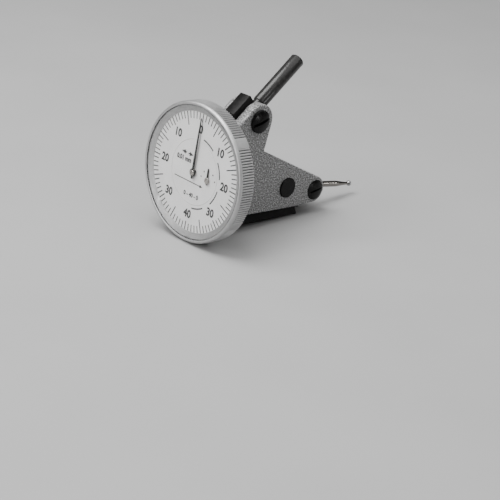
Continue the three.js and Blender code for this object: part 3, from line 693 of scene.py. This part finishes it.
# ---------- dovetail rail
RAIL_HALF = 3.1
RAIL_FLARE = 1.73
RAIL_NECK = RAIL_HALF - RAIL_FLARE / math.tan(math.radians(60))
PLATE_HALF = 3.4
PLATE_THICKNESS = 0.7


def rail_section(bottom, top):
    """The rail seen from its end: a dovetail with blunt corners under a flat plate."""
    plate = top - PLATE_THICKNESS
    right = [(RAIL_HALF - 0.12, bottom), (RAIL_HALF, bottom + 0.12),
             (RAIL_HALF - 0.06, bottom + 0.24), (RAIL_NECK, bottom + RAIL_FLARE),
             (RAIL_NECK, plate), (PLATE_HALF, plate), (PLATE_HALF, top)]
    return right + [(-x, z) for x, z in reversed(right)]


def make_rail():
    low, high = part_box("dovetail_rail")
    start, bottom = side_mm(low)
    end, top = side_mm(high)
    section = rail_section(bottom, top)
    rail = in_dial_frame(prism("dovetail_rail_body", section, -end, -start, FACE))
    sink = [(0, -16.4), (1.35, -16.4), (1.35, -15.6), (0.75, -15), (0.75, -12), (0, -12)]
    boolean(rail, [turned("sink", sink, at(x), ABOUT_Z, steps=48) for x in rail_screw_places()])
    bevelled(rail, 0.07)
    finished(rail, "case", RAIL_BLACK, "black_steel", "dovetail_rail")


def make_rail_screws():
    for number, x in enumerate(rail_screw_places(), 1):
        profile = [(0, -15.82), (1.15, -15.82), (1.25, -15.74), (1.25, -15.6), (0.6, -14.95),
                   (0.6, -10.4), (0.5, -10.3), (0, -10.3)]
        screw = turned(f"rail_screw_{number}_head", profile, at(x), ABOUT_Z, steps=40)
        slot = slot_cutter(0.3, -16.4, -15.5, angle=25 * number, length=4)
        boolean(screw, [placed(slot, Matrix.Translation(at(x)))])
        finished(screw, "case", BLACK, "black_steel", f"rail_screw_{number}")


# ---------- bezel and glass
BEZEL_RADIUS = 19.0
BEZEL_BACK = 3.65
BEZEL_BORE = 17.35
SEAT_RADIUS = 18.0
RIBS = 165
RIB_DEPTH = 0.36
RIB_START = -0.4
RIB_RUN_IN = 0.2  # along the rim, before a groove has its full depth
STEPS_PER_RIB = 8
# Groove floors deeper than this, between these positions, get the painted shade.
GROOVE_SHADE_DEPTH = 0.17  # what is deeper than this is dark
GROOVE_SHADE_START = -0.3
GROOVE_SHADE_END = 3.55
PANELS = 5
GAP_ANGLE = 50  # clockwise from the top, to the middle of one gap
GAP_WIDTH = 8


def knurl_depth(position, angle):
    """Depth of the straight knurl at a place on the rim. Plain gaps part it into panels."""
    pitch = 360 / PANELS
    clockwise = math.degrees(angle) - 180 - GAP_ANGLE
    from_gap = abs((clockwise + pitch / 2) % pitch - pitch / 2)
    if from_gap < GAP_WIDTH / 2:
        return 0.0
    run_in = min(1, max(0, (position - RIB_START) / RIB_RUN_IN))
    return RIB_DEPTH * run_in * (1 - abs(math.sin(RIBS * angle / 2)))


def knurled(radius, position, angle):
    """The radius after the knurl, which cuts only what has the rim's full radius."""
    if radius < BEZEL_RADIUS - 0.01:
        return radius
    return radius - knurl_depth(position, angle)


def darken_grooves(bezel):
    """Paints the floors of the knurl's grooves in a darker metal, as painted shade in the grooves.
    """
    bezel.data.materials.append(GROOVE_SHADE)
    for polygon in bezel.data.polygons:
        offset = (polygon.center - DIAL) / MM
        depth = BEZEL_RADIUS - math.hypot(offset.y, offset.z)
        if GROOVE_SHADE_DEPTH < depth < RIB_DEPTH and GROOVE_SHADE_START < offset.x < GROOVE_SHADE_END:
            polygon.material_index = 1


def make_bezel():
    lip = [(SEAT_RADIUS, 0.42), (SEAT_RADIUS, -1.02), (18.04, -1.10), (18.12, -1.16),
           (18.28, -1.2), (18.45, -1.19), (18.6, -1.13), (18.74, -1.01), (18.86, -0.84),
           (18.94, -0.64), (18.98, -0.45)]
    rim = [(BEZEL_RADIUS, p) for p in (-0.35, -0.22, -0.1, 0.8, 1.8, 2.8, 3.5, 3.58)]
    back = [(BEZEL_RADIUS - 0.27, 3.62), (BEZEL_RADIUS - 0.35, BEZEL_BACK),
            (BEZEL_BORE + 0.1, BEZEL_BACK), (BEZEL_BORE, BEZEL_BACK - 0.1)]
    ring_groove = [(BEZEL_BORE, 2.95), (17.7, 2.95), (17.7, 2.25), (BEZEL_BORE, 2.25)]
    profile = lip + rim + back + ring_groove + [(BEZEL_BORE, 0.42)]
    steps = RIBS * STEPS_PER_RIB
    bezel = turned("bezel_rim", profile, DIAL, ABOUT_X, steps, knurled)
    finished(bezel, "bezel", CHROME, "satin_chrome", "bezel", smooth_below=30)
    darken_grooves(bezel)


def make_crystal():
    """A shallow dome, which bulges by the same amount outside and inside."""
    radius, front, back, dome = 17.95, -1.15, -0.76, 0.55
    shares = [k / 10 for k in range(11)]
    outside = [(radius * 0.985 * s, front - dome * (1 - s * s)) for s in shares]
    inside = [(radius * 0.96 * s, back - dome * (1 - s * s)) for s in reversed(shares)]
    edge = [(radius, front + 0.05), (radius, back)]
    crystal = turned("crystal_dome", outside + edge + inside, DIAL, ABOUT_X, steps=120)
    finished(crystal, "bezel", ACRYLIC, "crystal", "crystal")


def make_crystal_seat():
    """A dark ring at the crystal's edge, as painted shade: it stands in for the dark reflection and
    shade on the bezel's inner wall.
    """
    profile = [(17.955, -1.13), (17.99, -1.15), (17.99, -0.66), (17.955, -0.66)]
    shade_ring = turned("crystal_shade_ring", profile, DIAL, ABOUT_X, steps=144)
    finished(shade_ring, "bezel", SHADE_RING_STEEL, "satin_chrome")


def make_flange():
    """The ring that slopes from the crystal's edge down to the scale."""
    profile = [(16.3, -0.04), (DIAL_EDGE, -0.04), (DIAL_EDGE, -0.66), (17.88, -0.7),
               (17.78, -0.7), (17.0, -0.40), (16.4, -0.15), (16.32, -0.11)]
    flange = turned("flange_slope", profile, DIAL, ABOUT_X, steps=144)
    finished(flange, "bezel", FLANGE, "inner_flange", "flange_ring", smooth_below=20)


# ---------- the dial
DIAL_SPLIT = 8.9  # the radius at which the fixed disc ends and the turning scale begins
DIAL_EDGE = 17.93
DIAL_THICKNESS = 0.36
PRINT_HEIGHT = 0.02
PRINT_ROOT = -0.006
TURN_SCALE = Matrix.Rotation(SCALE_TURN, 4, "X")
DIVISIONS = 80
TICK_END = 16.25
NUMBERED_TICK = (13.9, 0.33)  # its inner radius and its width, and so for the next two
HALFWAY_TICK = (12.6, 0.31)
PLAIN_TICK = (14.35, 0.29)
NUMBERS = (0, 10, 20, 30, 40, 30, 20, 10)
NUMBER_RADIUS = 11.8
NUMBER_SIZE = 3.05
ARC_RADIUS = 9.8
ARC_WIDTH = 0.37
ARCS = ((9.5, 35.3), (55, 81.5), (100.6, 128.4), (147, 172.5))


def clock(radius, degrees, centre=(0, 0)):
    """A point on the dial, as (right, up), by its clockwise angle from the top."""
    angle = math.radians(degrees)
    return centre[0] + radius * math.sin(angle), centre[1] + radius * math.cos(angle)


def printed(name, outline):
    """A thin mark on the dial, drawn as (right, up)."""
    return prism(name, outline, PRINT_ROOT, PRINT_HEIGHT, FACE)


def tick(inner, outer, width, degrees):
    low, high = Vector(clock(inner, degrees)), Vector(clock(outer, degrees))
    side = (high - low).orthogonal().normalized() * (width / 2)
    return printed("tick", [low - side, high - side, high + side, low + side])


def curved_mark(radius, width, start, end):
    steps = max(4, int(abs(end - start) / 3))
    angles = [start + (end - start) * k / steps for k in range(steps + 1)]
    outside = [clock(radius + width / 2, a) for a in angles]
    inside = [clock(radius - width / 2, a) for a in reversed(angles)]
    return printed("curve", outside + inside)


def dot(radius, centre):
    return printed("dot", circle(radius, 12, centre))


def figure(text, size, centre, narrow, weight):
    """Figures in Blender's own font. narrow squeezes them, and weight thickens their strokes by
    a share of their size."""
    curve = bpy.data.curves.new("figure", "FONT")
    curve.body = text
    curve.size = size * MM
    curve.align_x = "CENTER"
    curve.align_y = "CENTER"
    curve.extrude = (PRINT_HEIGHT - PRINT_ROOT) / 2 * MM
    curve.resolution_u = 6
    curve.offset = size * MM * weight
    text_object = link("figure", curve)
    mesh = evaluated_mesh(text_object)
    bpy.data.objects.remove(text_object)
    lift = (PRINT_HEIGHT + PRINT_ROOT) / 2
    move = Matrix.Translation(Vector((centre[0], centre[1], lift)) * MM)
    return placed(link("figure", mesh), FACE @ move @ Matrix.Diagonal((narrow, 1, 1, 1)))


def merged(name, parts):
    """One object from many, which are removed."""
    bm = bmesh.new()
    for part in parts:
        bm.from_mesh(part.data)
        bpy.data.objects.remove(part)
    mesh = bpy.data.meshes.new(name)
    bm.to_mesh(mesh)
    bm.free()
    return link(name, mesh)


def make_scale_ring():
    profile = [(DIAL_SPLIT, 0.03), (DIAL_SPLIT + 0.03, 0), (DIAL_EDGE, 0),
               (DIAL_EDGE, DIAL_THICKNESS), (DIAL_SPLIT, DIAL_THICKNESS)]
    ring = turned("scale_face", profile, DIAL, ABOUT_X, steps=144)
    finished(ring, "bezel", DIAL_PAINT, "dial_face", "scale_ring")


def scale_tick(number):
    inner, width = {0: NUMBERED_TICK, 5: HALFWAY_TICK}.get(number % 10, PLAIN_TICK)
    return tick(inner, TICK_END, width, 360 / DIVISIONS * number)


def make_scale_print():
    marks = [scale_tick(k) for k in range(DIVISIONS)]
    for k, number in enumerate(NUMBERS):
        centre = clock(NUMBER_RADIUS, 360 / len(NUMBERS) * k)
        marks.append(figure(str(number), NUMBER_SIZE, centre, narrow=0.91, weight=0.04))
    marks += [curved_mark(ARC_RADIUS, ARC_WIDTH, start, end) for start, end in ARCS]
    scale_print = placed(merged("scale_print", marks), Matrix.Translation(DIAL) @ TURN_SCALE)
    finished(scale_print, "bezel", PRINT, "hand_black")


def make_centre_disc():
    counter = (COUNTER - DIAL) / MM
    edge = DIAL_SPLIT - 0.05
    profile = [(0, 0), (edge - 0.03, 0), (edge, 0.03), (edge, DIAL_THICKNESS), (0, DIAL_THICKNESS)]
    disc = turned("centre_face", profile, DIAL, ABOUT_X, steps=120)
    boolean(disc, [
        drilled("hand_hole", 0.9, -1, 1, DIAL, ABOUT_X),
        drilled("counter_hole", 0.4, -1, 1, at(0, counter.y, counter.z), ABOUT_X),
    ])
    finished(disc, "case", DIAL_PAINT, "dial_face", "centre_disc")


def arrow(tail, head, width, head_length):
    tail, head = Vector(tail), Vector(head)
    along = (head - tail).normalized()
    across = Vector((-along.y, along.x))
    side, barb = across * width / 2, across * head_length * 0.4
    neck = head - along * head_length
    outline = [tail - side, neck - side, neck - barb, head, neck + barb, neck + side, tail + side]
    return printed("arrow", outline)


def make_centre_print():
    """The counter's dots, two lines of figures, a long arrow, a pair of arrows and an index."""
    counter = (-(COUNTER - DIAL).y / MM, (COUNTER - DIAL).z / MM)
    marks = [dot(0.22, clock(2.7, degrees, counter)) for degrees in (-79, -39, 39, 79)]
    marks += [
        figure("0.01 mm", 1.8, (-4.4, 2.65), narrow=0.88, weight=0.05),
        figure("0 - 40 - 0", 1.6, (-0.1, -6.45), narrow=0.95, weight=0.04),
        arrow((-7.3, -2.75), (3.9, -3.05), width=0.24, head_length=1.15),
        arrow((-3.6, 4.45), (-5.6, 4.5), width=0.34, head_length=1.5),
        arrow((-3.0, 4.35), (-1.0, 4.3), width=0.34, head_length=1.5),
        tick(8.55, 8.8, 0.05, 0),
    ]
    centre_print = placed(merged("centre_print", marks), Matrix.Translation(DIAL))
    finished(centre_print, "case", PRINT, "hand_black")


# ---------- the hands
def mirrored(right):
    """Adds the left half to an outline's right half, which starts on the axis at the tail."""
    left = [(-x, z) for x, z in reversed(right[1:]) if x > 0]
    return right + left


def hand_plate(name, outline, hub, bore, low, high):
    """A thin hand drawn as (right, up) about its own axis, between two heights."""
    blade = prism(name, outline, low, high, FACE)
    boolean(blade, [prism("hub", circle(hub, 40), low, high, FACE)], "UNION")
    boolean(blade, [prism("bore", circle(bore, 24), -1, 2, FACE)])
    return blade


def make_main_hand():
    right = [(0, -1.75), (0.28, -1.7), (0.35, -1.55), (0.38, -0.6), (0.38, 2), (0.3, 8),
             (0.17, 14.9), (0.07, 15.1)]
    hand = hand_plate("hand_blade", mirrored(right), hub=1.1, bore=0.36, low=0.54, high=0.66)
    bevelled(hand, 0.025, 1)
    placed(hand, Matrix.Translation(DIAL) @ TURN_SCALE)
    finished(hand, "hand", HAND_BLACK, "hand_black", "main_hand")


def make_hand_cap():
    profile = [(0, -1.05), (0.18, -1.045), (0.2, -1.0), (0.24, -1.0), (0.26, -1.045),
               (0.52, -1.04), (0.68, -0.99), (0.79, -0.9), (0.83, -0.8), (0.83, -0.73),
               (0, -0.73)]
    cap = turned("hand_boss", profile, DIAL, ABOUT_X, steps=48)
    finished(cap, "hand", STEEL, "polished_steel", "hand_cap")


def make_counter_hand():
    right = [(0, -1.15), (0.26, -1.1), (0.34, -0.95), (0.32, 0), (0.25, 2.6), (0.16, 3.3),
             (0, 3.42)]
    hand = hand_plate("counter_blade", mirrored(right), hub=0.6, bore=0.26, low=0.18, high=0.32)
    placed(hand, Matrix.Translation(COUNTER))
    finished(hand, "counter", HAND_BLACK, "hand_black", "counter_hand")
    profile = [(0, -0.33), (0.9, -0.33), (0.9, -0.4), (0.84, -0.45), (0.3, -0.47), (0, -0.47)]
    boss = turned("counter_boss", profile, COUNTER, ABOUT_X, steps=40)
    finished(boss, "counter", STEEL, "polished_steel")


# ---------- screws and pivots
HEAD_SEAT = HALF_WIDTH + 0.03
HEAD_EDGE = 0.2
SHANK_RADIUS = 1.4
SHANK_END = 3.9
CLAMP_HEAD_RADIUS = 3.2
CLAMP_SLOT_TURN = 20
NUT_SLOT_TURN = 52
STYLUS_SLOT_TURN = 12
SLOT_CUTTER_HEIGHT = 4
NEAR, FAR = -1, 1


def side_slot(width, bottom, side, angle, pivot):
    """A cutter for a slot across a head on the near or the far side of the case."""
    cutter = slot_cutter(width, bottom, bottom + SLOT_CUTTER_HEIGHT, angle)
    facing = SIDE if side == NEAR else Matrix.Rotation(math.pi, 4, "Z") @ SIDE
    return placed(cutter, Matrix.Translation(pivot) @ facing)


def head_profile(radius, height, crown):
    """(radius, distance out from the case's centre plane) for a cheese head and its shank."""
    top = HEAD_SEAT + height
    face = [(radius * s, top - crown * s * s) for s in (0, 0.2, 0.4, 0.6, 0.8)]
    rounding = arc((radius - HEAD_EDGE, top - crown - HEAD_EDGE), HEAD_EDGE, 90, 0, 4)
    shank = [(SHANK_RADIUS, HEAD_SEAT), (SHANK_RADIUS, SHANK_END), (0, SHANK_END)]
    return face + rounding + [(radius, HEAD_SEAT)] + shank


def pivot_head(name, node, pivot, side, radius, height, crown=0):
    """A plain head, or a slotted one if it is crowned."""
    profile = [(r, side * y) for r, y in head_profile(radius, height, crown)]
    head = turned(name, profile, pivot, ABOUT_Y, steps=72)
    if crown:
        turn = STYLUS_SLOT_TURN * -side
        boolean(head, [side_slot(0.6, HEAD_SEAT + 0.06, side, turn, pivot)])
        bevelled(head, 0.04)
    finished(head, "case", BLACK, "black_steel", node)


def make_pivot_screws():
    for side, word in ((NEAR, "near"), (FAR, "far")):
        pivot_head(f"lever_pivot_head_{word}", f"lever_pivot_screw_{word}", LEVER_PIVOT, side,
                   radius=2.9, height=0.45)
        pivot_head(f"stylus_pivot_head_{word}", f"stylus_pivot_screw_{word}", STYLUS_PIVOT, side,
                   radius=2.95, height=0.62, crown=0.42)


def make_clamp_screw():
    """A domed head on the near side, and a shank that runs through the fork to the nut."""
    radius, top, crown = CLAMP_HEAD_RADIUS, HEAD_SEAT + 1.22, 0.6
    dome = [(r, top - crown * (r / radius) ** 2)
            for r in (0, 0.4, 0.8, 1.2, 1.6, 2, 2.3, 2.6, 2.8, 3.0)]
    profile = dome + [(radius - 0.08, top - crown), (radius, top - crown - 0.12),
                      (radius, HEAD_SEAT), (1.5, HEAD_SEAT), (1.5, -4.9), (1.4, -5.0), (0, -5.0)]
    screw = turned("clamp_screw_head", [(r, -y) for r, y in profile], CLAMP, ABOUT_Y, steps=80)
    boolean(screw, [side_slot(0.8, HEAD_SEAT + 0.32, NEAR, CLAMP_SLOT_TURN, CLAMP)])
    bevelled(screw, 0.06)
    finished(screw, "clamp", BLACK, "black_steel", "clamp_screw")


def make_clamp_nut():
    radius, bore, top = CLAMP_HEAD_RADIUS, CLAMP_BORE, HEAD_SEAT + 0.8
    profile = [(bore, HEAD_SEAT), (radius - 0.05, HEAD_SEAT), (radius, HEAD_SEAT + 0.05),
               (radius, top - 0.35), (radius - 0.07, top - 0.2), (radius - 0.35, top),
               (bore + 0.15, top), (bore, top - 0.12)]
    nut = turned("clamp_nut_ring", profile, CLAMP, ABOUT_Y, steps=80)
    boolean(nut, [side_slot(0.8, HEAD_SEAT + 0.35, FAR, NUT_SLOT_TURN, CLAMP)])
    bevelled(nut, 0.05)
    finished(nut, "case", BLACK, "black_steel", "clamp_nut")


# ---------- stem and fork
STEM_FRAME = Matrix.Translation(CLAMP) @ Matrix.Rotation(-STEM_SLOPE, 4, "Y")
STEM_AXIS = Vector((0, 0, 0.05)) * MM
STEM_RADIUS = 2.0
STEM_END = 22.3
KNUCKLE_END = 3.0
KNUCKLE_BACK = -4.8
KNUCKLE_FOOT = -2.4
KNUCKLE_TOP = 6.1
KNUCKLE_HALF = 1.88
KNUCKLE_CHAMFER = 1.2
KNUCKLE_CORNERS = (0.5, 0.9)


def make_knuckle():
    """A block drawn in (along the stem, across it) from the clamp's axis."""
    near_stem, near_dial = KNUCKLE_CORNERS
    outline = [(KNUCKLE_BACK + KNUCKLE_CHAMFER, KNUCKLE_FOOT), (KNUCKLE_END, KNUCKLE_FOOT)]
    outline += arc((KNUCKLE_END - near_stem, KNUCKLE_TOP - near_stem), near_stem, 0, 90, 4)
    outline += arc((KNUCKLE_BACK + near_dial, KNUCKLE_TOP - near_dial), near_dial, 90, 180, 6)
    outline += [(KNUCKLE_BACK, KNUCKLE_FOOT + KNUCKLE_CHAMFER)]
    knuckle = rounded_plate("knuckle_block", outline, KNUCKLE_HALF, edge=0.22, steps=3)
    boolean(knuckle, [
        drilled("clamp_bore", CLAMP_BORE, -4, 4, Vector(), ABOUT_Y),
        drilled("stem_bore", 1.05, 1.8, 4, STEM_AXIS, ABOUT_X),
    ])
    placed(knuckle, STEM_FRAME)
    finished(knuckle, "stem", KNUCKLE_BLACK, "black_steel", "knuckle")


def make_stem():
    """A spigot in the knuckle, a narrow neck, the rod, and a chamfered end with a centre mark."""
    spigot = [(0, 1.9), (0.9, 1.9), (1.0, 2.0), (1.0, KNUCKLE_END + 0.05)]
    neck = [(1.7, KNUCKLE_END + 0.05), (1.75, KNUCKLE_END + 0.1), (1.75, 4.95), (1.8, 5.0),
            (1.92, 5.1), (1.98, 5.2)]
    rod = [(STEM_RADIUS, 5.3), (STEM_RADIUS, STEM_END - 0.42)]
    end = [(STEM_RADIUS - 0.03, STEM_END - 0.36), (STEM_RADIUS - 0.3, STEM_END - 0.05),
           (STEM_RADIUS - 0.38, STEM_END), (0.3, STEM_END), (0.2, STEM_END - 0.08),
           (0, STEM_END - 0.1)]
    stem = turned("stem_rod", spigot + neck + rod + end, STEM_AXIS, ABOUT_X, steps=72)
    placed(stem, STEM_FRAME)
    finished(stem, "stem", STEM_BLACK, "stem_steel", "stem")


# ---------- the stylus
STYLUS_FRAME = Matrix.Translation(STYLUS_PIVOT) @ Matrix.Rotation(STYLUS_DROOP, 4, "Y")
BALL_CENTRE = 20.372
BALL_RADIUS = 0.8
SHAFT_RADIUS = 0.9
NECK_RADIUS = 0.42
HUB_RADIUS = 2.1
HUB_HALF = 0.92
HUB_CHAMFER = 0.12


def make_stylus_hub():
    inner, rim = 0.52, HUB_RADIUS - HUB_CHAMFER
    profile = [(inner, -HUB_HALF), (rim, -HUB_HALF), (HUB_RADIUS, HUB_CHAMFER - HUB_HALF),
               (HUB_RADIUS, HUB_HALF - HUB_CHAMFER), (rim, HUB_HALF), (inner, HUB_HALF)]
    hub = turned("stylus_hub_ring", profile, Vector(), ABOUT_Y, steps=64)
    boolean(hub, [drilled("hub_thread", 0.55, 1.15, 3, Vector(), ABOUT_X, steps=24)])
    finished(placed(hub, STYLUS_FRAME), "stylus", BLACK, "black_steel", "stylus_hub")


def make_stylus_shaft():
    """A spigot in the hub, a straight rod with a groove near its root, and a long taper."""
    neck_end = BALL_CENTRE - BALL_RADIUS + 0.06
    spigot = [(0, 1.25), (0.5, 1.25), (0.5, 2.2), (0.82, 2.2)]
    rod = [(SHAFT_RADIUS, 2.28), (SHAFT_RADIUS, 3.6), (0.8, 3.7), (0.8, 3.95),
           (SHAFT_RADIUS, 4.05), (SHAFT_RADIUS, 14.0)]
    taper = [(0.89, 14.25), (0.86, 14.7), (0.72, 16.0), (0.58, 17.4), (0.47, 18.6),
             (NECK_RADIUS, 19.2), (NECK_RADIUS, neck_end), (0, neck_end + 0.02)]
    shaft = turned("stylus_rod", spigot + rod + taper, Vector(), ABOUT_X, steps=48)
    placed(shaft, STYLUS_FRAME)
    finished(shaft, "stylus", STYLUS_STEEL_SHADED, "polished_steel", "stylus_shaft")


def make_stylus_ball():
    rings = 24
    profile = [(0, BALL_CENTRE - BALL_RADIUS)]
    for k in range(1, rings):
        angle = math.pi * k / rings
        profile.append((BALL_RADIUS * math.sin(angle), BALL_CENTRE - BALL_RADIUS * math.cos(angle)))
    profile.append((0, BALL_CENTRE + BALL_RADIUS))
    ball = turned("stylus_tip", profile, Vector(), ABOUT_X, steps=40)
    placed(ball, STYLUS_FRAME)
    finished(ball, "stylus", CARBIDE, "carbide", "stylus_ball", smooth_below=60)


# ---------- pieces inside, which keep their shape
INNER_LOOKS = (
    (SPRING, ("bezel_snap_ring", "hairspring")),
    (BRASS, ("front_plate", "plate_pillar_1", "plate_pillar_2", "plate_pillar_3", "rear_bridge",
             "hairspring_stud", "arbor_bush_near", "arbor_bush_far", "friction_washer",
             "counter_idler", "counter_wheel", "crown_wheel")),
    (STEEL, ("plate_screw_1", "plate_screw_2", "plate_screw_3", "centre_arbor", "crown_arbor",
             "sector_lever", "sector_arbor", "stylus_carrier", "stylus_pivot_shaft")),
)


def dress_inner_pieces():
    for material, names in INNER_LOOKS:
        for name in names:
            for material_slot in frame["nodes"][name].material_slots:
                material_slot.material = material


# ---------- floor and lighting
FLOOR_REACH = 1.5  # metres each way
FLOOR_GAP = 0.05
WORLD_STRENGTH = 0.09
LAMP_DISTANCE = 0.6  # metres, and so are the lamps' sizes
LAMPS = (
    # name, azimuth and elevation in degrees, size, power in watts
    ("key", -118, 60, 0.42, 6.2),
    ("top", 60, 75, 0.8, 3.2),
    ("front", -95, 18, 0.3, 2.1),
    ("fill", -12, 36, 0.1, 0.26),
    ("edge", 60, 18, 0.07, 0.18),
    ("glint", 18, 1, 0.07, 0.4),
)


def floor_paint():
    material, tree, shader = new_material("pale_floor", roughness=0.75)
    cloud = noise(tree, millimetres(tree), scale=0.02, detail=3.0)
    grain = noise(tree, millimetres(tree), scale=1.2, detail=3.0)
    base = ramp(tree, cloud, (0.3, grey(0.34)), (0.7, grey(0.36)))
    tree.links.new(base, shader.inputs["Base Color"])
    bumped(tree, shader, (grain, 0.02))
    return material


def make_floor():
    """A pale floor under the bezel's back edge and the rail's far end, which rest on it."""
    bezel_low, bezel_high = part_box("bezel")
    rail_low, rail_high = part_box("dovetail_rail")
    tilt = math.atan2(rail_low.z - bezel_low.z, rail_high.x - bezel_high.x)
    bm = bmesh.new()
    bmesh.ops.create_grid(bm, x_segments=8, y_segments=8, size=FLOOR_REACH)
    floor = from_bmesh("floor", bm)
    contact = Vector((bezel_high.x, 0, bezel_low.z - FLOOR_GAP * MM))
    placed(floor, Matrix.Translation(contact) @ Matrix.Rotation(-tilt, 4, "Y"))
    floor.data.materials.append(floor_paint())


def area_light(name, azimuth, elevation, size, power):
    """A soft square lamp aimed at the middle of the object."""
    data = bpy.data.lights.new(name, "AREA")
    data.size = size
    data.energy = power
    lamp = bpy.data.objects.new(name, data)
    bpy.context.scene.collection.objects.link(lamp)
    right, up, back = view_axes(math.radians(azimuth), math.radians(elevation), 0)
    middle = (Vector(cad_box[0]) + Vector(cad_box[1])) / 2
    lamp.matrix_world = axes_matrix(right, up, back, middle + back * LAMP_DISTANCE)


def make_lights():
    world = bpy.data.worlds.new("studio")
    world.use_nodes = True
    background = world.node_tree.nodes["Background"]
    background.inputs["Color"].default_value = (1, 1, 1, 1)
    background.inputs["Strength"].default_value = WORLD_STRENGTH
    bpy.context.scene.world = world
    for lamp in LAMPS:
        area_light(*lamp)


make_camera()
make_housing()
make_rail()
make_rail_screws()
make_bezel()
make_crystal()
make_crystal_seat()
make_flange()
make_scale_ring()
make_scale_print()
make_centre_disc()
make_centre_print()
make_main_hand()
make_hand_cap()
make_counter_hand()
make_pivot_screws()
make_clamp_screw()
make_clamp_nut()
make_knuckle()
make_stem()
make_stylus_hub()
make_stylus_shaft()
make_stylus_ball()
dress_inner_pieces()
make_floor()
make_lights()
